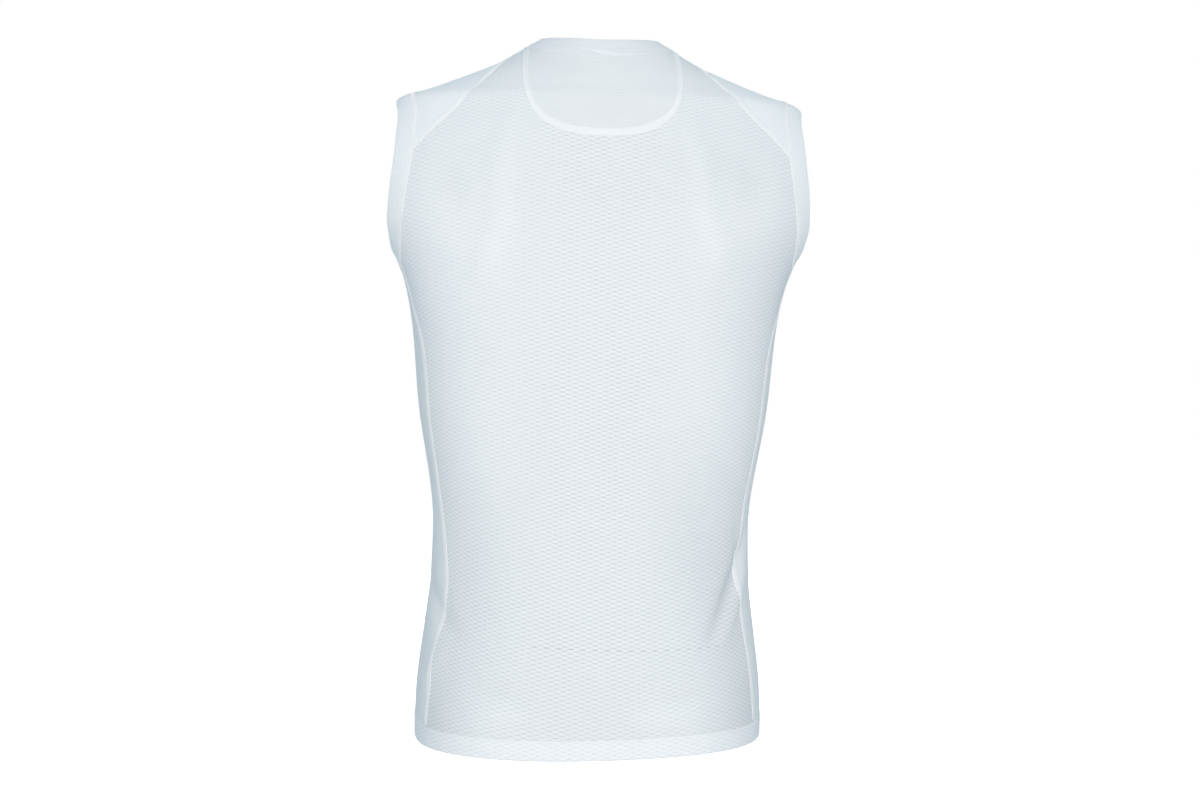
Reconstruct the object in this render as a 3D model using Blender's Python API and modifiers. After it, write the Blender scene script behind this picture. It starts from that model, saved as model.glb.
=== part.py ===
"""A sleeveless base layer vest, filled out as if it were worn, as separate cut and sewn pieces of cloth.

The wearer faces +Y, so +X is the wearer's right, and Z is up. The origin lies between the two points where
the shoulders meet the neck. Every piece lies on one hollow form, given by a table of level sections, and
every seam is a line of (angle, height) places on it. The angle goes round the body from the middle of the
back, at 0, over the right side, at 90 degrees, to the middle of the front, at 180. Lengths are in metres.
"""

import math
from collections import namedtuple

import bmesh
import bpy
from mathutils import Vector

# ---------------------------------------------------------------- driving dimensions
CLOTH = 0.0012  # wall of one layer of knit
DOUBLED = 0.0020  # wall of the bindings and the hem, which are folded double
SEAM_GAP = 0.0003  # between two pieces that are sewn together
NUDGE = 1e-6  # a step that is short beside any size here

# The hollow form, from the neck down: one row for each level section of the cloth.
Section = namedtuple("Section", "height half_width back front squareness")
SECTIONS = (
    Section(0.0220, 0.0460, 0.044, 0.042, 2.00),
    Section(0.0118, 0.0570, 0.050, 0.046, 2.00),
    Section(0.0028, 0.0725, 0.057, 0.051, 2.00),
    Section(-0.010, 0.0930, 0.066, 0.056, 2.05),
    Section(-0.028, 0.1360, 0.077, 0.063, 2.10),
    Section(-0.038, 0.1620, 0.082, 0.067, 2.20),
    Section(-0.047, 0.1875, 0.087, 0.071, 2.35),
    Section(-0.062, 0.1980, 0.092, 0.076, 2.50),
    Section(-0.090, 0.2105, 0.101, 0.086, 2.65),
    Section(-0.125, 0.2130, 0.109, 0.098, 2.70),
    Section(-0.160, 0.2060, 0.113, 0.108, 2.60),
    Section(-0.180, 0.1960, 0.114, 0.111, 2.50),
    Section(-0.198, 0.1860, 0.114, 0.113, 2.45),
    Section(-0.222, 0.1780, 0.113, 0.113, 2.40),
    Section(-0.260, 0.1710, 0.111, 0.111, 2.40),
    Section(-0.336, 0.1635, 0.103, 0.104, 2.40),
    Section(-0.404, 0.1520, 0.097, 0.099, 2.35),
    Section(-0.438, 0.1486, 0.096, 0.098, 2.30),
    Section(-0.495, 0.1500, 0.099, 0.100, 2.30),
    Section(-0.540, 0.1550, 0.105, 0.102, 2.35),
    Section(-0.586, 0.1605, 0.110, 0.104, 2.45),
    Section(-0.625, 0.1620, 0.113, 0.105, 2.50),
    Section(-0.680, 0.1610, 0.114, 0.105, 2.50),
)

# Broad swells of the cloth over a general figure, and the long hollow down the middle of the back.
Swell = namedtuple("Swell", "angle height half_across half_height rise")
SWELLS = (
    Swell(-46.0, -0.145, 0.050, 0.080, 0.0030),
    Swell(46.0, -0.140, 0.050, 0.080, 0.0030),
    Swell(0.0, -0.250, 0.030, 0.200, -0.0035),
    Swell(146.0, -0.160, 0.055, 0.065, 0.0055),
    Swell(-146.0, -0.160, 0.055, 0.065, 0.0055),
    Swell(180.0, -0.190, 0.026, 0.110, -0.0040),
)

# The largest folds: soft ridges, and troughs where the rise is below 0. Each runs straight from its start
# to its end, as angles in degrees and heights.
Fold = namedtuple("Fold", "angle height to_angle to_height half_width rise")
FOLDS = (
    # over the shoulder blades
    Fold(-41.5, -0.075, -38.5, -0.165, 0.013, 0.0024),
    Fold(-38.5, -0.165, -46.5, -0.214, 0.013, 0.0026),
    Fold(39.0, -0.070, 38.8, -0.155, 0.013, 0.0024),
    Fold(38.8, -0.155, 46.0, -0.200, 0.013, 0.0026),
    Fold(-55.0, -0.105, -52.0, -0.165, 0.016, -0.0024),
    Fold(54.0, -0.100, 52.5, -0.160, 0.016, -0.0024),
    Fold(-41.5, -0.245, -40.5, -0.315, 0.018, 0.0012),
    Fold(40.5, -0.240, 38.0, -0.305, 0.018, 0.0012),
    # the back below the waist
    Fold(76.0, -0.460, 43.0, -0.566, 0.0100, -0.0058),
    Fold(74.0, -0.492, 51.0, -0.552, 0.0090, 0.0024),
    Fold(47.0, -0.366, 74.0, -0.420, 0.016, -0.0018),
    Fold(-86.0, -0.494, -62.0, -0.540, 0.0090, -0.0030),
    Fold(-66.0, -0.556, -74.0, -0.590, 0.0090, 0.0020),
    Fold(-50.0, -0.591, -35.0, -0.597, 0.0090, -0.0020),
    Fold(31.0, -0.598, 46.0, -0.594, 0.0090, -0.0020),
    Fold(-48.0, -0.613, -28.0, -0.614, 0.0100, 0.0016),
    Fold(17.0, -0.617, 38.0, -0.615, 0.0100, 0.0016),
    # the front
    Fold(103.0, -0.452, 137.0, -0.556, 0.0090, -0.0052),
    Fold(-101.0, -0.440, -129.0, -0.520, 0.0100, -0.0042),
    Fold(-104.0, -0.470, -124.0, -0.540, 0.0080, 0.0022),
    Fold(112.0, -0.215, 138.0, -0.185, 0.0090, -0.0020),
    Fold(-113.0, -0.220, -136.0, -0.192, 0.0090, -0.0020),
    Fold(-152.0, -0.575, -136.0, -0.583, 0.0080, -0.0020),
    Fold(141.0, -0.584, 155.0, -0.580, 0.0080, -0.0018),
)
FOLD_GIRTH = 0.132  # the reach from the middle of the body by which angles count as lengths in a fold

# Neck: heights of the band's seam and of its upper edge at angles in degrees. The first row and the last
# one repeat their neighbours' heights beyond the middle of the back and of the front.
NeckPlace = namedtuple("NeckPlace", "angle seam edge")
NECK = (
    NeckPlace(-35.0, -0.0064, 0.0082),
    NeckPlace(0.0, -0.0095, 0.0064),
    NeckPlace(35.0, -0.0064, 0.0082),
    NeckPlace(65.0, -0.0003, 0.0108),
    NeckPlace(90.0, 0.0028, 0.0118),
    NeckPlace(115.5, -0.0100, -0.0004),
    NeckPlace(126.0, -0.0250, -0.0150),
    NeckPlace(134.0, -0.0400, -0.0292),
    NeckPlace(143.0, -0.0550, -0.0430),
    NeckPlace(153.0, -0.0680, -0.0550),
    NeckPlace(163.5, -0.0760, -0.0625),
    NeckPlace(180.0, -0.0800, -0.0662),
    NeckPlace(196.5, -0.0760, -0.0625),
)

# Armhole: an oval seen from the side, and the band round it.
ARMHOLE_HEIGHT = -0.1175
ARMHOLE_HALF_HEIGHT = 0.0710
ARMHOLE_HALF_DEPTH = 0.066
ARM_BAND_WIDTH = 0.018
WALK_STEP = 0.0005  # step along the cloth when a width is measured off

# Where the seams meet the neck's seam, as angles in degrees.
YOKE_AT_NECK = 76.0
RAGLAN_BACK_AT_NECK = 97.0
RAGLAN_FRONT_AT_NECK = 123.0
# Where the seams meet the armhole's seam, as turns in degrees from its top over the back.
RAGLAN_BACK_TURN = 78.0
SIDE_BACK_TURN = 162.0
SIDE_FRONT_TURN = 198.0
RAGLAN_FRONT_TURN = 284.0

# The shoulder seams between the neck and the armhole.
SeamPlace = namedtuple("SeamPlace", "angle height")
RAGLAN_BACK = (
    SeamPlace(86.0, -0.0035),
    SeamPlace(76.0, -0.0110),
    SeamPlace(68.5, -0.0190),
    SeamPlace(64.0, -0.0290),
    SeamPlace(61.0, -0.0410),
    SeamPlace(60.3, -0.0530),
    SeamPlace(61.6, -0.0660),
    SeamPlace(64.0, -0.0830),
)
RAGLAN_FRONT = (
    SeamPlace(122.5, -0.0360),
    SeamPlace(120.6, -0.0510),
    SeamPlace(118.0, -0.0670),
    SeamPlace(115.8, -0.0820),
)

# Side seams, by how far each lies behind the middle of the side, and in front of it for the front seam.
SidePlace = namedtuple("SidePlace", "height aside")
SIDE_SEAM = (
    SidePlace(-0.214, 0.026),
    SidePlace(-0.243, 0.033),
    SidePlace(-0.270, 0.043),
    SidePlace(-0.305, 0.046),
    SidePlace(-0.344, 0.043),
    SidePlace(-0.380, 0.040),
    SidePlace(-0.425, 0.039),
    SidePlace(-0.465, 0.046),
    SidePlace(-0.500, 0.052),
    SidePlace(-0.560, 0.053),
    SidePlace(-0.600, 0.055),
    SidePlace(-0.680, 0.050),
)

# Half-moon yoke below the neck band, and the tape that covers its seam.
YOKE_HALF_WIDTH = 0.0712
YOKE_SHOULDER = -0.0200  # below this height its edge starts to curve in
YOKE_BOTTOM = -0.0830
YOKE_SQUARENESS = 2.75
TAPE_WIDTH = 0.0058
TAPE_THICKNESS = 0.0010
TAPE_CLEARANCE = 0.0004
TAPE_SHORT = 0.0035  # how far below the neck band it ends

# Hem: the bottom edge, lower at the back, and the band that is turned up there.
HEM_SIDE_HEIGHT = -0.635
HEM_BACK_DROP = 0.015
HEM_FRONT_RISE = 0.010
HEM_FLATNESS = 1.5  # how soon the drop is reached on the way round to the back
HEM_TILT = 0.0038  # the right side sits this much higher, and the left as much lower
HEM_WIDTH = 0.0175

# Quads along each stretch of seam. Pieces that meet share the same points.
SIDE_ROWS = 34
ARM_ROWS = 8  # from the side seam up to the raglan seam, back and front
RAGLAN_ROWS = 9
YOKE_BOTTOM_COLUMNS = 10  # on each side of the middle
WING_COLUMNS = 9  # from the yoke's corner to the armhole, and along the neck's strap
FRONT_COLUMNS = 8  # on each side of the middle
SHOULDER_COLUMNS = 10
SIDE_COLUMNS = 6
TAPE_COLUMNS = 2
BAND_ROWS = 2
FINE = 240  # steps along a seam before its points are spaced evenly

KNIT_WHITE = (0.86, 0.91, 0.94, 1.0)
SMOOTH_WHITE = (0.80, 0.85, 0.87, 1.0)
TAPE_WHITE = (0.90, 0.94, 0.96, 1.0)


# ---------------------------------------------------------------- the hollow form
def smooth_row(rows, key):
    """A table's values from a smooth curve through its rows, which are in the order of their first column."""
    way = 1.0 if rows[-1][0] > rows[0][0] else -1.0
    key = min(max(key, min(rows[0][0], rows[-1][0])), max(rows[0][0], rows[-1][0]))
    after = next(k for k in range(1, len(rows)) if way * rows[k][0] >= way * key)
    before = after - 1
    first, last = max(before - 1, 0), min(after + 1, len(rows) - 1)
    span = rows[after][0] - rows[before][0]
    t = (key - rows[before][0]) / span
    values = []
    for start, here, there, end in zip(*(rows[k][1:] for k in (first, before, after, last))):
        slope_here = (there - start) / (rows[after][0] - rows[first][0]) * span
        slope_there = (end - here) / (rows[last][0] - rows[before][0]) * span
        fall = here - there
        values.append(
            here + t * slope_here
            - t**2 * (3 * fall + 2 * slope_here + slope_there)
            + t**3 * (2 * fall + slope_here + slope_there)
        )
    return values


def section_at(height):
    return Section(height, *smooth_row(SECTIONS, height))


def depth_beside(section, across, depth):
    """How far back or forward the section reaches beside a place across it."""
    share = min(abs(across) / section.half_width, 1.0)
    return depth * (1.0 - share**section.squareness) ** (1.0 / section.squareness)


def width_beside(section, along, depth):
    """How far to the side the section reaches beside a place along its depth."""
    share = min(abs(along) / depth, 1.0)
    return section.half_width * (1.0 - share**section.squareness) ** (1.0 / section.squareness)


def fold_line(fold):
    """A fold's start and its run, as lengths round and up the cloth."""
    start = Vector((math.radians(fold.angle) * FOLD_GIRTH, fold.height))
    end = Vector((math.radians(fold.to_angle) * FOLD_GIRTH, fold.to_height))
    return start, end - start


FOLD_LINES = [(fold, *fold_line(fold)) for fold in FOLDS]


def relief(angle, height):
    """How far the cloth stands out there, from its swells and folds."""
    out = 0.0
    for swell in SWELLS:
        turn = (angle - math.radians(swell.angle) + math.pi) % (2.0 * math.pi) - math.pi
        x = turn * FOLD_GIRTH / swell.half_across
        z = (height - swell.height) / swell.half_height
        out += swell.rise * math.exp(-x * x - z * z)
    turn = (angle + math.pi) % (2.0 * math.pi) - math.pi
    here = Vector((turn * FOLD_GIRTH, height))
    for fold, start, run in FOLD_LINES:
        place = here - start
        share = min(max(place.dot(run) / run.length_squared, 0.0), 1.0)
        aside = (place - run * share).length / fold.half_width
        if aside < 3.0:
            out += fold.rise * math.exp(-aside * aside) * math.sin(math.pi * (0.2 + 0.6 * share))
    return out


def reach_at(angle, height):
    """How far the plain form reaches from the middle of the body at an angle, before swells and folds."""
    section = section_at(height)
    sine, cosine = math.sin(angle), math.cos(angle)
    depth = section.back if cosine > 0.0 else section.front
    n = section.squareness
    return (abs(sine / section.half_width) ** n + abs(cosine / depth) ** n) ** (-1.0 / n)


def cloth_point(angle, height, out=0.0):
    """The middle of the cloth at an angle round the body and a height, moved out by a distance."""
    radius = reach_at(angle, height) + relief(angle, height)
    point = Vector((radius * math.sin(angle), -radius * math.cos(angle), height))
    return point + out_from(angle, height) * out if out else point


def out_from(angle, height):
    """The direction square to the cloth, away from the body."""
    step = 0.002
    along = cloth_point(angle + step, height) - cloth_point(angle - step, height)
    up = cloth_point(angle, height + step) - cloth_point(angle, height - step)
    return along.cross(up).normalized()


def back_place(across, height):
    """The place on the back that lies this far across."""
    section = section_at(height)
    return math.atan2(across, depth_beside(section, across, section.back)), height


def spread_evenly(path, segments):
    """A fine path of (angle, height) places, as segments + 1 places spaced evenly along the cloth."""
    points = [cloth_point(*place) for place in path]
    run = [0.0]
    for a, b in zip(points, points[1:]):
        run.append(run[-1] + (b - a).length)
    places, k = [], 0
    for n in range(segments + 1):
        goal = run[-1] * n / segments
        while k < len(run) - 2 and run[k + 1] < goal:
            k += 1
        t = min(max((goal - run[k]) / max(run[k + 1] - run[k], NUDGE), 0.0), 1.0)
        places.append(tuple(a + (b - a) * t for a, b in zip(path[k], path[k + 1])))
    return places


def straight_path(start, end, steps=FINE):
    """Places at even steps of angle and height from one place to another."""
    return [tuple(a + (b - a) * k / steps for a, b in zip(start, end)) for k in range(steps + 1)]


def smooth_path(start, rows, end):
    """A smooth path from one place to another through the rows of a seam's table."""
    knots = [start] + [(math.radians(row.angle), row.height) for row in rows] + [end]
    steps = FINE // (len(knots) - 1)
    path = [start]
    for k in range(len(knots) - 1):
        p0, p1, p2, p3 = (knots[min(max(n, 0), len(knots) - 1)] for n in (k - 1, k, k + 1, k + 2))
        for step in range(1, steps + 1):
            t = step / steps
            path.append(tuple(
                0.5 * (2 * b + t * (c - a) + t**2 * (2 * a - 5 * b + 4 * c - d) + t**3 * (3 * b - a - 3 * c + d))
                for a, b, c, d in zip(p0, p1, p2, p3)
            ))
    return path


def mirrored(places):
    """The same seam on the wearer's left."""
    return [(-angle, height) for angle, height in places]


def carried_round(places):
    """The same seam on the wearer's left, with angles that go on past the middle of the front."""
    return [(2.0 * math.pi - angle, height) for angle, height in places]


# ---------------------------------------------------------------- seams
def neck_place(turn, share=0.0):
    """A place on the neck: share is 0 on the band's seam and 1 on its upper edge. Turn is in degrees."""
    seam, edge = smooth_row(NECK, turn)
    return math.radians(turn), seam + (edge - seam) * share


def neck_path(start, end):
    return [neck_place(start + (end - start) * k / FINE) for k in range(FINE + 1)]


def armhole_place(turn, reach=ARM_BAND_WIDTH):
    """A place beside the right armhole, reach metres over the cloth from the opening's edge."""
    angle = math.radians(turn)

    def on_cloth(scale):
        height = ARMHOLE_HEIGHT + ARMHOLE_HALF_HEIGHT * math.cos(angle) * scale
        behind = ARMHOLE_HALF_DEPTH * math.sin(angle) * scale
        section = section_at(height)
        across = width_beside(section, behind, section.back if behind > 0.0 else section.front)
        return Vector((across, -behind, height))

    scale, walked = 1.0, 0.0
    point = on_cloth(scale)
    while walked < reach:
        scale += WALK_STEP / ARMHOLE_HALF_HEIGHT
        following = on_cloth(scale)
        walked += (following - point).length
        point = following
    return math.atan2(point.x, -point.y), point.z


def armhole_path(start, end):
    steps = FINE // 4
    return [armhole_place(start + (end - start) * k / steps) for k in range(steps + 1)]


def hem_height(angle):
    """The height of the bottom edge."""
    cosine = math.cos(angle)
    level = cosine * (1.0 + HEM_FLATNESS) / (1.0 + HEM_FLATNESS * abs(cosine))
    drop = HEM_BACK_DROP * level if level > 0.0 else HEM_FRONT_RISE * level
    return HEM_SIDE_HEIGHT - drop + HEM_TILT * math.sin(angle)


def side_seam(facing, mirror):
    """A side seam up from the hem to the armhole. Facing is 1 for the back seam and -1 for the front one."""

    def place(height):
        (aside,) = smooth_row(SIDE_SEAM, height)
        section = section_at(height)
        across = width_beside(section, aside, section.back if facing > 0 else section.front)
        return math.atan2(across, facing * aside), height

    side = place(HEM_SIDE_HEIGHT)[0]
    bottom, top = hem_height(-side if mirror else side) + HEM_WIDTH, SIDE_SEAM[0].height
    path = [place(bottom + (top - bottom) * k / FINE) for k in range(FINE + 1)]
    arm_end = ARM_UNDER[0] if facing > 0 else ARM_UNDER[-1]
    return spread_evenly(path + straight_path(path[-1], arm_end, FINE // 12)[1:], SIDE_ROWS)


def yoke_path():
    """The yoke's seam on the right, from the middle of the back up to the neck."""
    path = []
    for k in range(FINE + 1):
        quarter = math.radians(90.0 * k / FINE)
        across = YOKE_HALF_WIDTH * math.sin(quarter) ** (2.0 / YOKE_SQUARENESS)
        down = (YOKE_SHOULDER - YOKE_BOTTOM) * math.cos(quarter) ** (2.0 / YOKE_SQUARENESS)
        path.append(back_place(across, YOKE_SHOULDER - down))
    end, steps = neck_place(YOKE_AT_NECK), FINE // 6
    narrowing = reach_at(*end) * math.sin(end[0]) - YOKE_HALF_WIDTH
    for k in range(1, steps):
        share = k / steps
        height = YOKE_SHOULDER + (end[1] - YOKE_SHOULDER) * share
        path.append(back_place(YOKE_HALF_WIDTH + narrowing * share, height))
    return path + [end]


def hem_line(start, end, segments):
    """The top of the hem band between two angles."""
    path = []
    for k in range(FINE + 1):
        angle = start + (end - start) * k / FINE
        path.append((angle, hem_height(angle) + HEM_WIDTH))
    return spread_evenly(path, segments)


# The seams on the right, worked out once.
ARM_BACK = spread_evenly(armhole_path(SIDE_BACK_TURN, RAGLAN_BACK_TURN), ARM_ROWS)
ARM_FRONT = spread_evenly(armhole_path(SIDE_FRONT_TURN, RAGLAN_FRONT_TURN), ARM_ROWS)
ARM_OVER = spread_evenly(armhole_path(RAGLAN_BACK_TURN, RAGLAN_FRONT_TURN - 360.0), SHOULDER_COLUMNS)
ARM_UNDER = spread_evenly(armhole_path(SIDE_BACK_TURN, SIDE_FRONT_TURN), SIDE_COLUMNS)
BACK_SHOULDER_SEAM = spread_evenly(
    smooth_path(neck_place(RAGLAN_BACK_AT_NECK), RAGLAN_BACK, ARM_BACK[-1])[::-1], RAGLAN_ROWS
)
FRONT_SHOULDER_SEAM = spread_evenly(
    smooth_path(neck_place(RAGLAN_FRONT_AT_NECK), RAGLAN_FRONT, ARM_FRONT[-1])[::-1], RAGLAN_ROWS
)
YOKE_SEAM = spread_evenly(yoke_path(), YOKE_BOTTOM_COLUMNS + RAGLAN_ROWS)
YOKE_BELOW, YOKE_BESIDE = YOKE_SEAM[: YOKE_BOTTOM_COLUMNS + 1], YOKE_SEAM[YOKE_BOTTOM_COLUMNS:]
WING_LINE = spread_evenly(straight_path(YOKE_BELOW[-1], ARM_BACK[-1]), WING_COLUMNS)
NECK_YOKE = spread_evenly(neck_path(0.0, YOKE_AT_NECK), YOKE_BOTTOM_COLUMNS)
NECK_STRAP = spread_evenly(neck_path(YOKE_AT_NECK, RAGLAN_BACK_AT_NECK), WING_COLUMNS)
NECK_SHOULDER = spread_evenly(neck_path(RAGLAN_BACK_AT_NECK, RAGLAN_FRONT_AT_NECK), SHOULDER_COLUMNS)
NECK_FRONT = spread_evenly(neck_path(RAGLAN_FRONT_AT_NECK, 180.0), FRONT_COLUMNS)


# ---------------------------------------------------------------- sheets and solids
def patch(bm, bottom, top, left, right, flat=False):
    """Adds a grid of cloth inside four seams. Bottom and top run the same way, left and right upwards.

    A flat patch is spaced by lengths across the back, and any other by angles.
    """
    edges = [bottom, top, left, right]
    if flat:
        edges = [[(reach_at(*place) * math.sin(place[0]), place[1]) for place in edge] for edge in edges]
    bottom, top, left, right = edges
    columns, rows = len(bottom) - 1, len(left) - 1
    made = bmesh.ops.create_grid(bm, x_segments=columns, y_segments=rows, size=0.5)["verts"]
    for vert in made:
        i, j = round((vert.co.x + 0.5) * columns), round((vert.co.y + 0.5) * rows)
        u, v = i / columns, j / rows
        place = []
        for axis in range(2):
            across = left[j][axis] * (1 - u) + right[j][axis] * u
            upward = bottom[i][axis] * (1 - v) + top[i][axis] * v
            low = bottom[0][axis] * (1 - u) + bottom[-1][axis] * u
            high = top[0][axis] * (1 - u) + top[-1][axis] * u
            place.append(across + upward - low * (1 - v) - high * v)
        vert.co = cloth_point(*(back_place(*place) if flat else place))


def strip(bm, points_by_row):
    """Adds a grid of cloth through rows of points."""
    columns, rows = len(points_by_row[0]) - 1, len(points_by_row) - 1
    made = bmesh.ops.create_grid(bm, x_segments=columns, y_segments=rows, size=0.5)["verts"]
    for vert in made:
        i, j = round((vert.co.x + 0.5) * columns), round((vert.co.y + 0.5) * rows)
        vert.co = points_by_row[j][i]


def open_seams(bm):
    """Draws the open edges in by half a gap, so that two pieces which share a seam stand apart."""
    pull = {}
    for edge in bm.edges:
        if not edge.is_boundary:
            continue
        face = edge.link_faces[0]
        a, b = edge.verts
        inward = (b.co - a.co).cross(face.normal).normalized()
        if inward.dot(face.calc_center_median() - a.co) < 0.0:
            inward.negate()
        for vert in edge.verts:
            pull.setdefault(vert, []).append(inward)
    for vert, ways in pull.items():
        square = sum(ways, Vector()) / len(ways)
        vert.co += square.normalized() * (SEAM_GAP / 2.0) / max(square.length, 0.5)


def face_out(bm):
    """Turns the sheet so that its faces point away from the body."""
    bmesh.ops.recalc_face_normals(bm, faces=bm.faces)
    lean = 0.0
    for face in bm.faces:
        centre = face.calc_center_median()
        lean += face.normal.dot(Vector((centre.x, centre.y, 0.0)))
    if lean < 0.0:
        bmesh.ops.reverse_faces(bm, faces=bm.faces)


def finish_piece(name, bm, wall, material, group):
    """Makes the sheet a closed piece of cloth with its wall and its material."""
    bmesh.ops.remove_doubles(bm, verts=bm.verts, dist=NUDGE)
    bm.normal_update()
    open_seams(bm)
    face_out(bm)
    mesh = bpy.data.meshes.new(name)
    bm.to_mesh(mesh)
    bm.free()
    mesh.shade_smooth()
    mesh.materials.append(material)
    piece = bpy.data.objects.new(name, mesh)
    group.objects.link(piece)
    thick = piece.modifiers.new("wall", "SOLIDIFY")
    thick.thickness = wall
    thick.offset = 0.0
    thick.use_even_offset = True


def cloth_material(name, colour, roughness):
    material = bpy.data.materials.new(name)
    material.use_nodes = True
    shader = material.node_tree.nodes["Principled BSDF"]
    shader.inputs["Base Color"].default_value = colour
    shader.inputs["Roughness"].default_value = roughness
    shader.inputs["Metallic"].default_value = 0.0
    return material


# ---------------------------------------------------------------- the pieces
def back_panel(material, group):
    bm = bmesh.new()
    right = side_seam(1, False) + ARM_BACK[1:]
    left = mirrored(side_seam(1, True) + ARM_BACK[1:])
    half = YOKE_BELOW + WING_LINE[1:]
    top = mirrored(half[::-1]) + half[1:]
    patch(bm, hem_line(left[0][0], right[0][0], len(top) - 1), top, left, right)
    patch(bm, WING_LINE, NECK_STRAP, YOKE_BESIDE, BACK_SHOULDER_SEAM)
    wing = [mirrored(seam) for seam in (WING_LINE, NECK_STRAP, YOKE_BESIDE, BACK_SHOULDER_SEAM)]
    patch(bm, *wing)
    finish_piece("back_panel", bm, CLOTH, material, group)


def front_panel(material, group):
    bm = bmesh.new()
    right = side_seam(-1, False) + ARM_FRONT[1:] + FRONT_SHOULDER_SEAM[1:]
    left = carried_round(side_seam(-1, True) + ARM_FRONT[1:] + FRONT_SHOULDER_SEAM[1:])
    top = NECK_FRONT + carried_round(NECK_FRONT[::-1])[1:]
    patch(bm, hem_line(right[0][0], left[0][0], len(top) - 1), top, right, left)
    finish_piece("front_panel", bm, CLOTH, material, group)


def side_panel(name, mirror, material, group):
    bm = bmesh.new()
    edges = [ARM_UNDER, side_seam(1, mirror), side_seam(-1, mirror)]
    if mirror:
        edges = [mirrored(edge) for edge in edges]
    under, back, front = edges
    patch(bm, hem_line(back[0][0], front[0][0], SIDE_COLUMNS), under, back, front)
    finish_piece(name, bm, CLOTH, material, group)


def shoulder_panel(name, mirror, material, group):
    bm = bmesh.new()
    edges = [ARM_OVER, NECK_SHOULDER, BACK_SHOULDER_SEAM, FRONT_SHOULDER_SEAM]
    if mirror:
        edges = [mirrored(edge) for edge in edges]
    patch(bm, *edges)
    finish_piece(name, bm, CLOTH, material, group)


def back_neck_yoke(material, group):
    bm = bmesh.new()
    bottom = mirrored(YOKE_BELOW[::-1]) + YOKE_BELOW[1:]
    top = mirrored(NECK_YOKE[::-1]) + NECK_YOKE[1:]
    patch(bm, bottom, top, mirrored(YOKE_BESIDE), YOKE_BESIDE, flat=True)
    finish_piece("back_neck_yoke", bm, CLOTH, material, group)


def yoke_tape(material, group):
    """The tape over the yoke's seam: the seam's points, set aside by half its width and moved out."""
    half = [place for place in yoke_path() if place[1] < neck_place(YOKE_AT_NECK)[1] - TAPE_SHORT]
    half = spread_evenly(half, len(YOKE_SEAM) - 1)
    seam = mirrored(half[::-1]) + half[1:]
    out = CLOTH / 2.0 + TAPE_CLEARANCE + TAPE_THICKNESS / 2.0
    asides = []
    for k in range(len(seam)):
        before, after = cloth_point(*seam[max(k - 1, 0)]), cloth_point(*seam[min(k + 1, len(seam) - 1)])
        asides.append(out_from(*seam[k]).cross(after - before).normalized())
    rows = []
    for row in range(TAPE_COLUMNS + 1):
        shift = TAPE_WIDTH * (row / TAPE_COLUMNS - 0.5)
        rows.append([cloth_point(*place, out) + aside * shift for place, aside in zip(seam, asides)])
    bm = bmesh.new()
    strip(bm, rows)
    finish_piece("yoke_tape", bm, TAPE_THICKNESS, material, group)


def band(name, rows_of_places, material, group):
    """A doubled band of cloth closed on itself, from rows of places that each go all the way round."""
    bm = bmesh.new()
    strip(bm, [[cloth_point(*place) for place in row] for row in rows_of_places])
    finish_piece(name, bm, DOUBLED, material, group)


def turns_of(places, seam_function, start, end):
    """The turns at which a seam's places lie, found along it in order."""
    turns, begin = [], 0
    fine = [start + (end - start) * k / (4 * FINE) for k in range(4 * FINE + 1)]
    points = [cloth_point(*seam_function(turn)) for turn in fine]
    for wanted in places:
        goal = cloth_point(*wanted)
        begin = min(range(begin, len(fine)), key=lambda k: (points[k] - goal).length)
        turns.append(fine[begin])
    return turns


def neck_band(material, group):
    half = NECK_YOKE + NECK_STRAP[1:] + NECK_SHOULDER[1:] + NECK_FRONT[1:]
    turns = turns_of(half, neck_place, 0.0, 180.0)
    rows = []
    for row in range(BAND_ROWS + 1):
        places = [neck_place(turn, row / BAND_ROWS) for turn in turns] if row else half
        rows.append(places + carried_round(places[::-1])[1:])
    band("neck_band", rows, material, group)


def armhole_band(name, mirror, material, group):
    start, end = RAGLAN_FRONT_TURN - 360.0, RAGLAN_FRONT_TURN
    seam = ARM_OVER[::-1] + ARM_BACK[::-1][1:] + ARM_UNDER[1:] + ARM_FRONT[1:]
    turns = [start] + turns_of(seam[1:-1], armhole_place, start, end) + [end]
    rows = [seam[:-1] + seam[:1]]
    for row in range(1, BAND_ROWS + 1):
        reach = ARM_BAND_WIDTH * (1.0 - row / BAND_ROWS)
        places = [armhole_place(turn, reach) for turn in turns]
        rows.append(places[:-1] + places[:1])
    if mirror:
        rows = [mirrored(row) for row in rows]
    band(name, rows, material, group)


def hem_band(material, group):
    back_right, back_left = side_seam(1, False)[0][0], -side_seam(1, True)[0][0]
    front_right, front_left = side_seam(-1, False)[0][0], 2.0 * math.pi - side_seam(-1, True)[0][0]
    half_columns = YOKE_BOTTOM_COLUMNS + WING_COLUMNS
    top = hem_line(back_left, back_right, 2 * half_columns)
    top += hem_line(back_right, front_right, SIDE_COLUMNS)[1:]
    top += hem_line(front_right, front_left, 2 * FRONT_COLUMNS)[1:]
    top += hem_line(front_left, back_left + 2.0 * math.pi, SIDE_COLUMNS)[1:]
    rows = []
    for row in range(BAND_ROWS):
        drop = HEM_WIDTH * row / (BAND_ROWS - 1)
        rows.append([(angle, height - drop) for angle, height in top])
    band("hem_band", rows, material, group)


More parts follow.
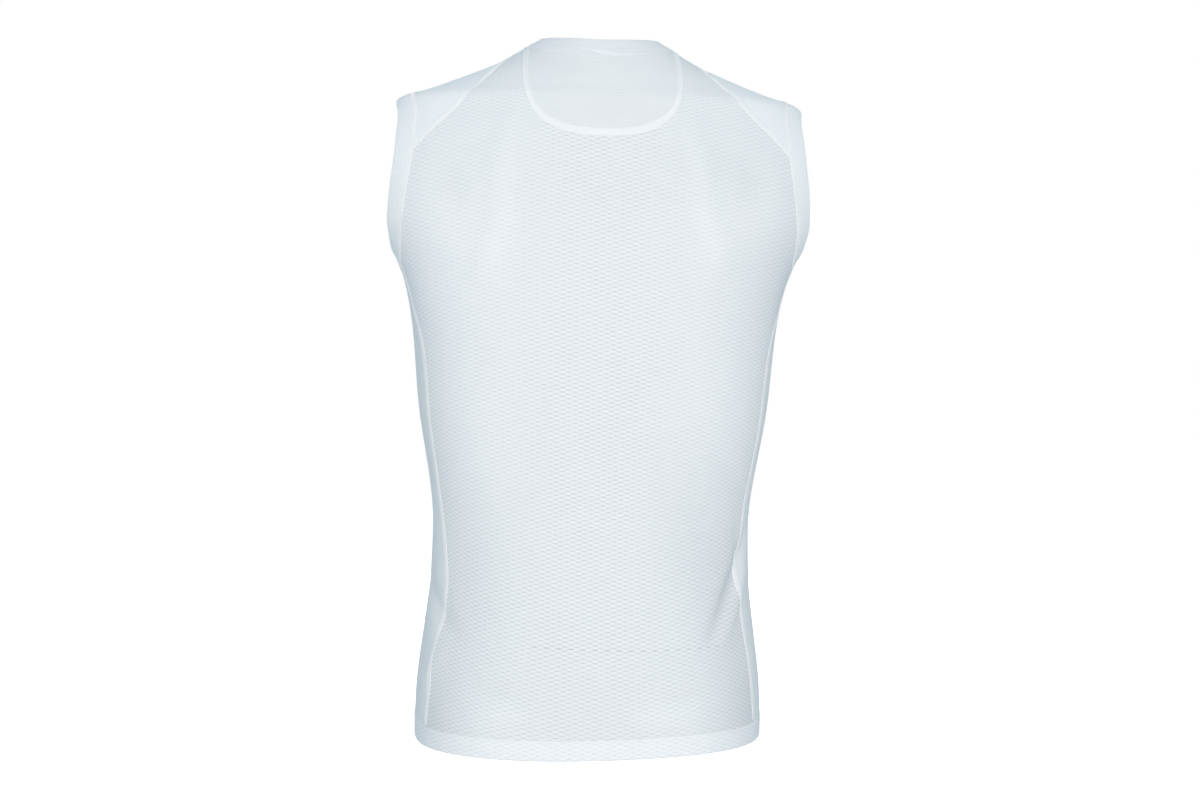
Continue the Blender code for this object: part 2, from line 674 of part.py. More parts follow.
def main():
    for old in list(bpy.data.objects):
        bpy.data.objects.remove(old)
    group = bpy.data.collections.new("base_layer_vest")
    bpy.context.scene.collection.children.link(group)

    eyelet_knit = cloth_material("eyelet_knit", KNIT_WHITE, 0.85)
    smooth_knit = cloth_material("smooth_knit", SMOOTH_WHITE, 0.75)
    ribbed_knit = cloth_material("ribbed_knit", SMOOTH_WHITE, 0.80)
    binding_knit = cloth_material("binding_knit", KNIT_WHITE, 0.85)
    hem_knit = cloth_material("hem_knit", KNIT_WHITE, 0.85)
    seam_tape = cloth_material("seam_tape", TAPE_WHITE, 0.70)

    back_panel(eyelet_knit, group)
    front_panel(eyelet_knit, group)
    side_panel("side_panel_right", False, smooth_knit, group)
    side_panel("side_panel_left", True, smooth_knit, group)
    shoulder_panel("shoulder_panel_right", False, smooth_knit, group)
    shoulder_panel("shoulder_panel_left", True, smooth_knit, group)
    back_neck_yoke(ribbed_knit, group)
    yoke_tape(seam_tape, group)
    neck_band(binding_knit, group)
    armhole_band("armhole_band_right", False, binding_knit, group)
    armhole_band("armhole_band_left", True, binding_knit, group)
    hem_band(hem_knit, group)


main()
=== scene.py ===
"""The looks of a sleeveless mesh base layer, filled out as if it were worn.

The cloth hangs on one hollow form, a table of level sections, as the frame's pieces do. A place on the
form is an angle round the body from the middle of the back, over the wearer's right side at 90 degrees, and
a height. A piece is cut out flat from knit with even rows, is given its wall there, and is then hung on the
form: a flat place is how far across and up it lies in the knit, and how far out it stands. Lengths are in
metres.
"""

import math
from collections import namedtuple

import bmesh
import bpy
import numpy as np
from mathutils import Matrix, Vector


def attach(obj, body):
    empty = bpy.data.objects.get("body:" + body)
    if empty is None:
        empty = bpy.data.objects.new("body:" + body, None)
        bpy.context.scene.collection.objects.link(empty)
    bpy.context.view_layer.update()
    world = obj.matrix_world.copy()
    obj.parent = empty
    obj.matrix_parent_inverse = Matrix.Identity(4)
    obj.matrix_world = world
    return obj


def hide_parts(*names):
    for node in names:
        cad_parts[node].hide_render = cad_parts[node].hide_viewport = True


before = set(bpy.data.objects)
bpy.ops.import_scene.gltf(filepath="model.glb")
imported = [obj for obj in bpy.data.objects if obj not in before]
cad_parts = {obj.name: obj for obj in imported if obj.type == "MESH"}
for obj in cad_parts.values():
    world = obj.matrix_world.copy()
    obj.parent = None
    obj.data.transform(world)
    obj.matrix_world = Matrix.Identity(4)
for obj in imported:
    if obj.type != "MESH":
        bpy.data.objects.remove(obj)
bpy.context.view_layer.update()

# ---------------------------------------------------------------- camera
CAMERA_AZIMUTH = math.radians(-3.5)  # turned round the vest from straight behind it
CAMERA_ROLL = math.radians(1.05)
CAMERA_DISTANCE = 2.2
CAMERA_HEIGHT = -0.326
CAMERA_ASIDE = 0.0068
SENSOR = 36.0
VIEW_WIDTH = 1.1376  # what the view takes in at the vest

# ---------------------------------------------------------------- the hollow form
Section = namedtuple("Section", "height half_width back front squareness")
SECTIONS = (
    Section(0.0220, 0.0460, 0.044, 0.042, 2.00),
    Section(0.0118, 0.0570, 0.050, 0.046, 2.00),
    Section(0.0028, 0.0725, 0.057, 0.051, 2.00),
    Section(-0.010, 0.0930, 0.066, 0.056, 2.05),
    Section(-0.028, 0.1360, 0.077, 0.063, 2.10),
    Section(-0.038, 0.1620, 0.082, 0.067, 2.20),
    Section(-0.047, 0.1875, 0.087, 0.071, 2.35),
    Section(-0.062, 0.1980, 0.092, 0.076, 2.50),
    Section(-0.090, 0.2105, 0.101, 0.086, 2.65),
    Section(-0.125, 0.2130, 0.109, 0.098, 2.70),
    Section(-0.160, 0.2060, 0.113, 0.108, 2.60),
    Section(-0.180, 0.1960, 0.114, 0.111, 2.50),
    Section(-0.198, 0.1860, 0.114, 0.113, 2.45),
    Section(-0.222, 0.1780, 0.113, 0.113, 2.40),
    Section(-0.260, 0.1710, 0.111, 0.111, 2.40),
    Section(-0.336, 0.1635, 0.103, 0.104, 2.40),
    Section(-0.404, 0.1520, 0.097, 0.099, 2.35),
    Section(-0.438, 0.1486, 0.096, 0.098, 2.30),
    Section(-0.495, 0.1500, 0.099, 0.100, 2.30),
    Section(-0.540, 0.1550, 0.105, 0.102, 2.35),
    Section(-0.586, 0.1605, 0.110, 0.104, 2.45),
    Section(-0.625, 0.1620, 0.113, 0.105, 2.50),
    Section(-0.680, 0.1610, 0.114, 0.105, 2.50),
)

Swell = namedtuple("Swell", "angle height half_across half_height rise")
SWELLS = (
    Swell(-46.0, -0.145, 0.050, 0.080, 0.0030),
    Swell(46.0, -0.140, 0.050, 0.080, 0.0030),
    Swell(0.0, -0.250, 0.030, 0.200, -0.0035),
    Swell(146.0, -0.160, 0.055, 0.065, 0.0055),
    Swell(-146.0, -0.160, 0.055, 0.065, 0.0055),
    Swell(180.0, -0.190, 0.026, 0.110, -0.0040),
)

# Soft ridges, and troughs where the rise is below 0, from a start to an end in degrees and heights.
Fold = namedtuple("Fold", "angle height to_angle to_height half_width rise")
FOLDS = (
    # over the shoulder blades
    Fold(-41.5, -0.075, -38.5, -0.165, 0.011, 0.0032),
    Fold(-38.5, -0.165, -46.5, -0.214, 0.011, 0.0034),
    Fold(39.0, -0.070, 38.8, -0.155, 0.011, 0.0032),
    Fold(38.8, -0.155, 46.0, -0.200, 0.011, 0.0034),
    Fold(-55.0, -0.105, -52.0, -0.165, 0.016, -0.0024),
    Fold(54.0, -0.100, 52.5, -0.160, 0.016, -0.0024),
    Fold(-41.5, -0.245, -40.5, -0.315, 0.018, 0.0012),
    Fold(40.5, -0.240, 38.0, -0.305, 0.018, 0.0012),
    # the back below the waist
    Fold(77.0, -0.450, 53.0, -0.542, 0.0068, -0.0042),
    Fold(75.5, -0.482, 55.5, -0.548, 0.0065, 0.0022),
    Fold(47.0, -0.366, 74.0, -0.420, 0.016, -0.0018),
    Fold(-86.0, -0.494, -62.0, -0.540, 0.0090, -0.0030),
    Fold(-66.0, -0.556, -74.0, -0.590, 0.0090, 0.0020),
    Fold(-50.0, -0.591, -35.0, -0.597, 0.0090, -0.0020),
    Fold(31.0, -0.598, 46.0, -0.594, 0.0090, -0.0020),
    Fold(-48.0, -0.613, -28.0, -0.614, 0.0100, 0.0016),
    Fold(17.0, -0.617, 38.0, -0.615, 0.0100, 0.0016),
    # the front
    Fold(103.0, -0.452, 137.0, -0.556, 0.0090, -0.0052),
    Fold(-101.0, -0.440, -129.0, -0.520, 0.0100, -0.0042),
    Fold(-104.0, -0.470, -124.0, -0.540, 0.0080, 0.0022),
    Fold(112.0, -0.215, 138.0, -0.185, 0.0090, -0.0020),
    Fold(-113.0, -0.220, -136.0, -0.192, 0.0090, -0.0020),
    Fold(-152.0, -0.575, -136.0, -0.583, 0.0080, -0.0020),
    Fold(141.0, -0.584, 155.0, -0.580, 0.0080, -0.0018),
)
# Small ones, which only the cloth itself has.
CREASES = (
    # wrinkles in the neck band and the top of the yoke
    Fold(-60.0, -0.0052, -36.0, -0.0030, 0.0018, 0.0008),
    Fold(-42.0, -0.0058, -4.0, -0.0112, 0.0017, 0.0009),
    Fold(-18.0, -0.0036, 14.0, -0.0100, 0.0015, -0.0012),
    Fold(-8.0, -0.0024, 26.0, -0.0086, 0.0016, 0.0008),
    Fold(24.0, -0.0064, 58.0, -0.0040, 0.0018, 0.0007),
    Fold(148.0, -0.052, 166.0, -0.066, 0.0014, 0.0006),
    Fold(-150.0, -0.056, -162.0, -0.068, 0.0014, -0.0006),
    # beside the seams
    Fold(-66.0, -0.500, -66.0, -0.522, 0.0016, -0.0006),
    Fold(-64.5, -0.500, -64.5, -0.522, 0.0016, 0.0005),
    Fold(69.0, -0.436, 69.5, -0.470, 0.0040, -0.0012),
    Fold(73.0, -0.440, 60.0, -0.510, 0.0110, -0.0007),
)
# Patches of painted shade on the mesh knit, darker where the share is above 0, and of painted highlight,
# lighter where the share is below 0.
PaintedShadeSpot = namedtuple("PaintedShadeSpot", "angle height half_across half_height share")
PAINTED_SHADE_SPOTS = (
    PaintedShadeSpot(-47.0, -0.190, 0.026, 0.050, -0.16),
    PaintedShadeSpot(-52.0, -0.300, 0.032, 0.075, -0.14),
    PaintedShadeSpot(-50.0, -0.390, 0.030, 0.060, -0.10),
    PaintedShadeSpot(46.0, -0.175, 0.022, 0.045, -0.10),
    PaintedShadeSpot(47.0, -0.310, 0.030, 0.070, -0.12),
    PaintedShadeSpot(-60.0, -0.490, 0.030, 0.060, 0.05),
    PaintedShadeSpot(44.0, -0.450, 0.032, 0.055, 0.14),
    PaintedShadeSpot(66.0, -0.470, 0.022, 0.045, 0.14),
    PaintedShadeSpot(-66.0, -0.610, 0.028, 0.035, 0.16),
    PaintedShadeSpot(66.0, -0.606, 0.026, 0.035, 0.30),
    PaintedShadeSpot(-68.0, -0.644, 0.034, 0.026, 0.26),
    PaintedShadeSpot(64.0, -0.644, 0.034, 0.026, 0.24),
    PaintedShadeSpot(-42.0, -0.618, 0.030, 0.018, -0.18),
    PaintedShadeSpot(33.0, -0.614, 0.030, 0.018, -0.18),
    PaintedShadeSpot(-20.0, -0.130, 0.060, 0.050, 0.08),
    PaintedShadeSpot(20.0, -0.130, 0.060, 0.050, 0.08),
    PaintedShadeSpot(50.0, -0.110, 0.045, 0.035, 0.11),
    PaintedShadeSpot(-66.0, -0.205, 0.030, 0.055, -0.26),
    PaintedShadeSpot(59.0, -0.530, 0.030, 0.065, 0.24),
    PaintedShadeSpot(-57.0, -0.510, 0.032, 0.100, 0.11),
)
FOLD_GIRTH = 0.132  # the reach from the middle of the body by which angles count as lengths in a fold

# ---------------------------------------------------------------- seams
NeckPlace = namedtuple("NeckPlace", "angle seam edge")
NECK = (
    NeckPlace(-35.0, -0.0064, 0.0082),
    NeckPlace(0.0, -0.0095, 0.0064),
    NeckPlace(35.0, -0.0064, 0.0082),
    NeckPlace(65.0, -0.0003, 0.0108),
    NeckPlace(90.0, 0.0028, 0.0118),
    NeckPlace(115.5, -0.0100, -0.0004),
    NeckPlace(126.0, -0.0250, -0.0150),
    NeckPlace(134.0, -0.0400, -0.0292),
    NeckPlace(143.0, -0.0550, -0.0430),
    NeckPlace(153.0, -0.0680, -0.0550),
    NeckPlace(163.5, -0.0760, -0.0625),
    NeckPlace(180.0, -0.0800, -0.0662),
    NeckPlace(196.5, -0.0760, -0.0625),
)
ARMHOLE_HEIGHT = -0.1175
ARMHOLE_HALF_HEIGHT = 0.0710
ARMHOLE_HALF_DEPTH = 0.066
ARM_BAND_WIDTH = 0.018
NECK_BAND_WIDTH = 0.016  # the middle width, by which its knit is laid out
YOKE_AT_NECK = 76.0
RAGLAN_BACK_AT_NECK = 97.0
RAGLAN_FRONT_AT_NECK = 123.0
RAGLAN_BACK_TURN = 78.0
SIDE_BACK_TURN = 162.0
SIDE_FRONT_TURN = 198.0
RAGLAN_FRONT_TURN = 284.0

SeamPlace = namedtuple("SeamPlace", "angle height")
RAGLAN_BACK = (
    SeamPlace(86.0, -0.0035),
    SeamPlace(76.0, -0.0110),
    SeamPlace(68.5, -0.0190),
    SeamPlace(64.0, -0.0290),
    SeamPlace(61.0, -0.0410),
    SeamPlace(60.3, -0.0530),
    SeamPlace(61.6, -0.0660),
    SeamPlace(64.0, -0.0830),
)
RAGLAN_FRONT = (
    SeamPlace(122.5, -0.0360),
    SeamPlace(120.6, -0.0510),
    SeamPlace(118.0, -0.0670),
    SeamPlace(115.8, -0.0820),
)
SidePlace = namedtuple("SidePlace", "height aside")
SIDE_SEAM = (
    SidePlace(-0.214, 0.026),
    SidePlace(-0.243, 0.033),
    SidePlace(-0.270, 0.043),
    SidePlace(-0.305, 0.046),
    SidePlace(-0.344, 0.043),
    SidePlace(-0.380, 0.040),
    SidePlace(-0.425, 0.039),
    SidePlace(-0.465, 0.046),
    SidePlace(-0.500, 0.052),
    SidePlace(-0.560, 0.053),
    SidePlace(-0.600, 0.055),
    SidePlace(-0.680, 0.050),
)
YOKE_HALF_WIDTH = 0.0712
YOKE_SHOULDER = -0.0200
YOKE_BOTTOM = -0.0830
YOKE_SQUARENESS = 2.75
HEM_SIDE_HEIGHT = -0.635
HEM_BACK_DROP = 0.015
HEM_FRONT_RISE = 0.010
HEM_FLATNESS = 1.5
HEM_TILT = 0.0038
HEM_WIDTH = 0.0175

# ---------------------------------------------------------------- cloth
OUTER = 0.0006  # from the middle of a panel's wall to its face
INNER = -0.0004
DOUBLED = 0.0010  # from the middle of a folded band to its face

# The knit's eyelets: one repeat, whose middle holds a second eyelet.
WALE = 0.0113
COURSE = 0.0040
EYELET_LENGTH = 0.28  # how far the rows' own wave draws the eyelets out sideways
EYELET_DEPTH = 0.00038
EYELET_RIM = 0.00020
EYELET_MEAN = 0.33  # the middling darkness of the knit with its eyelets
RIB = 0.0017  # pitch of the yoke's cross ribs
RIB_DEPTH = 0.00034

# How wide the eyelets stand open, where 1 is the whole of their depth, and how much less at some places.
OPEN_MOST = 0.73
LESS_OPEN_ABOVE = 0.12
LESS_OPEN_BELOW = 0.10
LESS_OPEN_ASIDE = 0.24
OPENED_ASIDE_BELOW = 0.16
ARM_BAND_OPENNESS = 0.39
HEM_OPENNESS = 0.70

TROUGH_SHADE = 0.50  # how much darker the mesh knit is in the deepest folds
RIDGE_LIGHT = 0.09  # and how much lighter on the highest ridges

# How wide a repeat is stretched at each height.
Stretch = namedtuple("Stretch", "height width")
STRETCHES = (
    Stretch(0.030, 0.01130),
    Stretch(-0.090, 0.01130),
    Stretch(-0.127, 0.01160),
    Stretch(-0.180, 0.01175),
    Stretch(-0.235, 0.01175),
    Stretch(-0.272, 0.01140),
    Stretch(-0.310, 0.01130),
    Stretch(-0.344, 0.01105),
    Stretch(-0.380, 0.01080),
    Stretch(-0.525, 0.01085),
    Stretch(-0.561, 0.01105),
    Stretch(-0.598, 0.01150),
    Stretch(-0.680, 0.01160),
)
# How steeply the rows of eyelets fall away beside the middle, and where they rise, below 0.
Slope = namedtuple("Slope", "height fall")
SLOPES = (
    Slope(0.030, 0.050),
    Slope(-0.090, 0.060),
    Slope(-0.150, 0.065),
    Slope(-0.200, 0.052),
    Slope(-0.265, 0.030),
    Slope(-0.345, -0.008),
    Slope(-0.420, -0.052),
    Slope(-0.470, -0.074),
    Slope(-0.530, -0.085),
    Slope(-0.585, -0.098),
    Slope(-0.620, -0.104),
    Slope(-0.680, -0.100),
)
SLOPE_START = 0.075  # the rows bend this far beside the middle
SLOPE_MOST = 1.3
# How much closer together the eyelets stand near the sides, or further apart, below 0.
Gather = namedtuple("Gather", "height share")
GATHERS = (
    Gather(0.030, 0.00),
    Gather(-0.110, 0.00),
    Gather(-0.200, -0.09),
    Gather(-0.270, -0.07),
    Gather(-0.345, 0.00),
    Gather(-0.420, 0.14),
    Gather(-0.480, 0.28),
    Gather(-0.580, 0.30),
    Gather(-0.680, 0.28),
)
GATHER_START = 0.075
GATHER_END = 0.145
ROW_TILT = 0.020  # the rows fall this much to the wearer's right
SHOULDER_START = -0.088  # above it the form leans in, and the rows stand closer in height
SHOULDER_EASE = 0.030

FINE = 360  # steps along a seam
SEARCH_STEPS = 60  # in the search for the place on the form of a flat place in the knit
SEARCH_SHARE = 0.5  # how much of what is left each of them goes
TINY = 1e-6


# ---------------------------------------------------------------- places on the form
def smooth_rows(rows, keys):
    """A table's values on a smooth curve through its rows, which are sorted by their first column."""
    table = np.array(rows, float)
    if table[0, 0] > table[-1, 0]:
        table = table[::-1]
    knots, values = table[:, 0], table[:, 1:]
    slopes = np.empty_like(values)
    slopes[1:-1] = (values[2:] - values[:-2]) / (knots[2:] - knots[:-2])[:, None]
    slopes[0] = (values[1] - values[0]) / (knots[1] - knots[0])
    slopes[-1] = (values[-1] - values[-2]) / (knots[-1] - knots[-2])
    keys = np.clip(np.asarray(keys, float), knots[0], knots[-1])
    k = np.clip(np.searchsorted(knots, keys, side="right") - 1, 0, len(knots) - 2)
    span = (knots[k + 1] - knots[k])[..., None]
    t = (keys - knots[k])[..., None] / span
    fall = values[k] - values[k + 1]
    here, there = slopes[k] * span, slopes[k + 1] * span
    curve = t * here - t**2 * (3 * fall + 2 * here + there) + t**3 * (2 * fall + here + there)
    return np.moveaxis(values[k] + curve, -1, 0)


def ease(value, low, high):
    """0 below low and 1 above high, with a smooth way between them."""
    share = np.clip((value - low) / (high - low), 0.0, 1.0)
    return share * share * (3.0 - 2.0 * share)


def reach_at(angle, height):
    """How far the plain form reaches from the middle of the body, before swells and folds."""
    half_width, back, front, squareness = smooth_rows(SECTIONS, height)
    sine, cosine = np.sin(angle), np.cos(angle)
    depth = np.where(cosine > 0.0, back, front)
    return (
        np.abs(sine / half_width) ** squareness + np.abs(cosine / depth) ** squareness
    ) ** (-1.0 / squareness)


def wrapped(angle):
    """The same angle, within half a turn of the middle of the back."""
    return (angle + math.pi) % (2.0 * math.pi) - math.pi


def within(patch, angle, height):
    """How far inside a swell or a patch of painted shade a place lies: 1 in its middle, and next to 0
    outside.
    """
    x = wrapped(angle - math.radians(patch.angle)) * FOLD_GIRTH / patch.half_across
    z = (height - patch.height) / patch.half_height
    return np.exp(-x * x - z * z)


def swelling(angle, height):
    return sum(swell.rise * within(swell, angle, height) for swell in SWELLS)


def folding(angle, height):
    """How far the cloth stands out there, from its folds."""
    out = np.zeros(np.broadcast(angle, height).shape)
    girth = wrapped(angle) * FOLD_GIRTH
    for fold in FOLDS + CREASES:
        start = math.radians(fold.angle) * FOLD_GIRTH
        run_x, run_z = math.radians(fold.to_angle) * FOLD_GIRTH - start, fold.to_height - fold.height
        x, z = girth - start, height - fold.height
        share = np.clip((x * run_x + z * run_z) / (run_x**2 + run_z**2), 0.0, 1.0)
        aside = ((x - run_x * share) ** 2 + (z - run_z * share) ** 2) / fold.half_width**2
        out += fold.rise * np.exp(-aside) * np.sin(math.pi * (0.2 + 0.6 * share))
    return out


def painted_shading(angle, height):
    """How much painted shade the mesh knit has from its patches and its folds' troughs, and painted
    highlight, below 0, on its ridges.
    """
    out = sum(spot.share * within(spot, angle, height) for spot in PAINTED_SHADE_SPOTS)
    rise = folding(angle, height)
    return out + TROUGH_SHADE * ease(-rise, 0.0010, 0.0058) - RIDGE_LIGHT * ease(rise, 0.0006, 0.0036)


def openness(angle, height):
    """How wide the mesh knit's eyelets stand open: widest in the middle of the back and the front."""
    turned = np.abs(wrapped(angle))
    aside = FOLD_GIRTH * np.minimum(turned, math.pi - turned)
    above = LESS_OPEN_ABOVE * ease(height, -0.30, -0.15)
    below = LESS_OPEN_BELOW * ease(-height, 0.54, 0.60)
    beside = (LESS_OPEN_ASIDE - OPENED_ASIDE_BELOW * ease(-height, 0.42, 0.52)) * ease(aside, 0.035, 0.090)
    return OPEN_MOST - above - below - beside


def on_form(angle, height):
    radius = reach_at(angle, height) + swelling(angle, height) + folding(angle, height)
    x, y = radius * np.sin(angle), -radius * np.cos(angle)
    return np.stack([x, y, np.broadcast_to(height, radius.shape)], -1)


def out_from(angle, height):
    """The direction square to the cloth, away from the body."""
    step = 0.002
    along = on_form(angle + step, height) - on_form(angle - step, height)
    up = on_form(angle, height + step) - on_form(angle, height - step)
    square = np.cross(along, up)
    return square / np.linalg.norm(square, axis=-1, keepdims=True)


def cloth_point(angle, height, out=None):
    point = on_form(angle, height)
    return point if out is None else point + out_from(angle, height) * out[..., None]


# Lengths round each level section from the middle of the back, and the angles at even shares of them.
GIRTH_HEIGHTS = np.linspace(-0.700, 0.030, 220)
GIRTH_ANGLES = np.linspace(0.0, math.pi, 361)


def measure_girths():
    angle, height = np.meshgrid(GIRTH_ANGLES, GIRTH_HEIGHTS)
    radius = reach_at(angle, height)
    x, y = radius * np.sin(angle), radius * np.cos(angle)
    girths = np.zeros_like(radius)
    girths[:, 1:] = np.cumsum(np.hypot(np.diff(x), np.diff(y)), axis=1)
    shares = np.linspace(0.0, 1.0, len(GIRTH_ANGLES))
    angles = np.array([np.interp(shares * row[-1], row, GIRTH_ANGLES) for row in girths])
    return girths, angles


GIRTHS, EVEN_ANGLES = measure_girths()


def measure_leans():
    """How much longer the cloth is than it is high, up from the start of the shoulders at each angle."""
    angle, height = np.meshgrid(GIRTH_ANGLES, GIRTH_HEIGHTS)
    step = GIRTH_HEIGHTS[1] - GIRTH_HEIGHTS[0]
    rates = np.hypot(1.0, np.gradient(reach_at(angle, height), step, axis=0)) - 1.0
    rates *= ease(height, SHOULDER_START, SHOULDER_START + SHOULDER_EASE)
    return np.cumsum(rates * step, axis=0), rates


LEANS, LEAN_RATES = measure_leans()


def between(table, row, column):
    """A table's values at broken rows and columns."""
    row = np.clip(row, 0.0, table.shape[0] - 1.0 - TINY)
    column = np.clip(column, 0.0, table.shape[1] - 1.0 - TINY)
    i, j = row.astype(int), column.astype(int)
    f, g = row - i, column - j
    low = table[i, j] * (1 - g) + table[i, j + 1] * g
    high = table[i + 1, j] * (1 - g) + table[i + 1, j + 1] * g
    return low * (1 - f) + high * f


def height_row(height):
    return (height - GIRTH_HEIGHTS[0]) / (GIRTH_HEIGHTS[1] - GIRTH_HEIGHTS[0])


def girth_at(angle, height):
    """The length round the cloth from the middle of the back."""
    column = np.abs(angle) / GIRTH_ANGLES[1]
    return np.sign(angle) * between(GIRTHS, height_row(height), column)


def half_girth(height):
    return np.interp(height, GIRTH_HEIGHTS, GIRTHS[:, -1])


def angle_at(girth, height):
    share = np.abs(girth) / half_girth(height)
    return np.sign(girth) * between(EVEN_ANGLES, height_row(height), share * (len(GIRTH_ANGLES) - 1))


# ---------------------------------------------------------------- places in the knit
def bend(girth):
    """How far the rows have bent at a length beside the middle."""
    girth = np.abs(girth)
    return SLOPE_MOST * (girth - SLOPE_START * np.arctan(girth / SLOPE_START))


def lean_at(table, angle, height):
    return between(table, height_row(height), np.abs(wrapped(angle)) / GIRTH_ANGLES[1])


def gathered(girth, height):
    """How much longer the knit is than a length beside the middle, where its eyelets stand closer."""
    span = GATHER_END - GATHER_START
    share = np.clip((np.abs(girth) - GATHER_START) / span, 0.0, 1.0)
    beyond = np.maximum(np.abs(girth) - GATHER_END, 0.0)
    extra = span * (share**3 - 0.5 * share**4) + beyond
    return np.sign(girth) * extra * smooth_rows(GATHERS, height)[0]


def into_knit(angle, height, front):
    """How far across and up in the flat knit a place lies, from the middle of its own side of the body."""
    angle = np.asarray(angle, float)
    if front:
        turned = (angle % (2.0 * math.pi)) - math.pi
        girth = np.sign(turned) * (half_girth(height) - girth_at(math.pi - np.abs(turned), height))
    else:
        girth = girth_at(angle, height)
    across = (girth + gathered(girth, height)) * WALE / smooth_rows(STRETCHES, height)[0]
    up = height + lean_at(LEANS, angle, height) + ROW_TILT * girth
    return across, up + smooth_rows(SLOPES, height)[0] * bend(girth)


def out_of_knit(across, up, front):
    """The angle and height of a flat place in the knit."""
    height = np.clip(up, GIRTH_HEIGHTS[0], 0.0)
    girth = across
    for _ in range(SEARCH_STEPS):
        girth = across * smooth_rows(STRETCHES, height)[0] / WALE - gathered(girth, height)
        if front:
            beside = half_girth(height) - np.abs(girth)
            angle = math.pi + np.sign(girth) * (math.pi - angle_at(beside, height))
        else:
            angle = angle_at(girth, height)
        spare = up - height - lean_at(LEANS, angle, height) - ROW_TILT * girth
        spare -= smooth_rows(SLOPES, height)[0] * bend(girth)
        height = height + SEARCH_SHARE * spare / (1.0 + lean_at(LEAN_RATES, angle, height))
    return angle, height


def eyelets(across, up):
    """How far the knit's face is raised there by its rims, and sunk by its eyelets."""
    wave = np.cos(2.0 * math.pi * across / WALE) * np.cos(2.0 * math.pi * up / COURSE)
    wave += EYELET_LENGTH * np.cos(4.0 * math.pi * up / COURSE)
    return EYELET_RIM * np.maximum(-wave, 0.0) - EYELET_DEPTH * np.maximum(wave, 0.0)


def cross_ribs(across, up):
    return -RIB_DEPTH * (0.5 - 0.5 * np.cos(2.0 * math.pi * up / RIB))


# ---------------------------------------------------------------- seams as rows of (angle, height)
def rows_of(angle, height):
    return np.stack(np.broadcast_arrays(angle, height), -1)


def depth_beside(height, across, front):
    half_width, back, ahead, squareness = smooth_rows(SECTIONS, height)
    share = np.minimum(np.abs(across) / half_width, 1.0)
    return (ahead if front else back) * (1.0 - share**squareness) ** (1.0 / squareness)


def width_beside(height, behind):
    half_width, back, front, squareness = smooth_rows(SECTIONS, height)
    share = np.minimum(np.abs(behind) / np.where(behind > 0.0, back, front), 1.0)
    return half_width * (1.0 - share**squareness) ** (1.0 / squareness)


def lengths_along(path):
    steps = np.linalg.norm(np.diff(cloth_point(path[:, 0], path[:, 1]), axis=0), axis=1)
    return np.concatenate([[0.0], np.cumsum(steps)])


def spread_evenly(path, segments):
    """A path's places spaced evenly along the cloth."""
    run = lengths_along(path)
    goals = np.linspace(0.0, run[-1], segments + 1)
    return rows_of(np.interp(goals, run, path[:, 0]), np.interp(goals, run, path[:, 1]))


def smooth_path(start, rows, end):
    """A smooth path from one place to another through the rows of a seam's table."""
    knots = np.array([start] + [(math.radians(row.angle), row.height) for row in rows] + [end])
    last, steps, path = len(knots) - 1, FINE // (len(knots) - 1), [knots[:1]]
    for k in range(last):
        a, b, c, d = (knots[min(max(n, 0), last)] for n in (k - 1, k, k + 1, k + 2))
        t = (np.arange(1, steps + 1) / steps)[:, None]
        path.append(
            0.5 * (2 * b + t * (c - a) + t**2 * (2 * a - 5 * b + 4 * c - d) + t**3 * (3 * b - a - 3 * c + d))
        )
    return np.concatenate(path)


def mirrored(path):
    return path * (-1.0, 1.0)


def carried_round(path):
    """The same seam on the wearer's left, with angles that go on past the middle of the front."""
    return rows_of(2.0 * math.pi - path[:, 0], path[:, 1])


def neck_place(turn, share=0.0):
    seam, edge = smooth_rows(NECK, np.abs((turn + 180.0) % 360.0 - 180.0))
    return rows_of(np.radians(turn), seam + (edge - seam) * share)


def armhole_place(turn, reach):
    """Places beside the right armhole, reach metres over the cloth from the opening's edge."""
    turn, reach = np.broadcast_arrays(np.asarray(turn, float), reach)
    scales = np.linspace(0.92, 1.60, 137)
    scale = scales[:, None]
    height = ARMHOLE_HEIGHT + ARMHOLE_HALF_HEIGHT * np.cos(np.radians(turn)) * scale
    behind = ARMHOLE_HALF_DEPTH * np.sin(np.radians(turn)) * scale
    points = np.stack([width_beside(height, behind), -behind, height], -1)
    run = np.zeros(height.shape)
    run[1:] = np.cumsum(np.linalg.norm(np.diff(points, axis=0), axis=-1), axis=0)
    edge = int(np.searchsorted(scales, 1.0))
    share = (1.0 - scales[edge - 1]) / (scales[edge] - scales[edge - 1])
    run -= run[edge - 1] * (1.0 - share) + run[edge] * share
    places = np.array([
        [np.interp(r, run[:, k], points[:, k, axis]) for axis in range(3)] for k, r in enumerate(reach)
    ])
    return rows_of(np.arctan2(places[:, 0], -places[:, 1]), places[:, 2])


def armhole_path(start, end):
    return armhole_place(np.linspace(start, end, FINE // 3), ARM_BAND_WIDTH)


def hem_height(angle):
    cosine = np.cos(angle)
    level = cosine * (1.0 + HEM_FLATNESS) / (1.0 + HEM_FLATNESS * np.abs(cosine))
    drop = np.where(level > 0.0, HEM_BACK_DROP, HEM_FRONT_RISE) * level
    return HEM_SIDE_HEIGHT - drop + HEM_TILT * np.sin(angle)


def side_seam(facing, mirror):
    """A side seam up from the hem to the armhole. Facing is 1 for the back seam and -1 for the front one."""

    def place(height):
        (aside,) = smooth_rows(SIDE_SEAM, height)
        return np.arctan2(width_beside(height, facing * aside), facing * aside)

    side = float(place(np.array(HEM_SIDE_HEIGHT)))
    bottom = float(hem_height(-side if mirror else side)) + HEM_WIDTH
    heights = np.linspace(bottom, SIDE_SEAM[0].height, FINE)
    arm_end = (ARM_BACK if facing > 0 else ARM_FRONT)[0]
    return np.concatenate([rows_of(place(heights), heights), arm_end[None, :]])


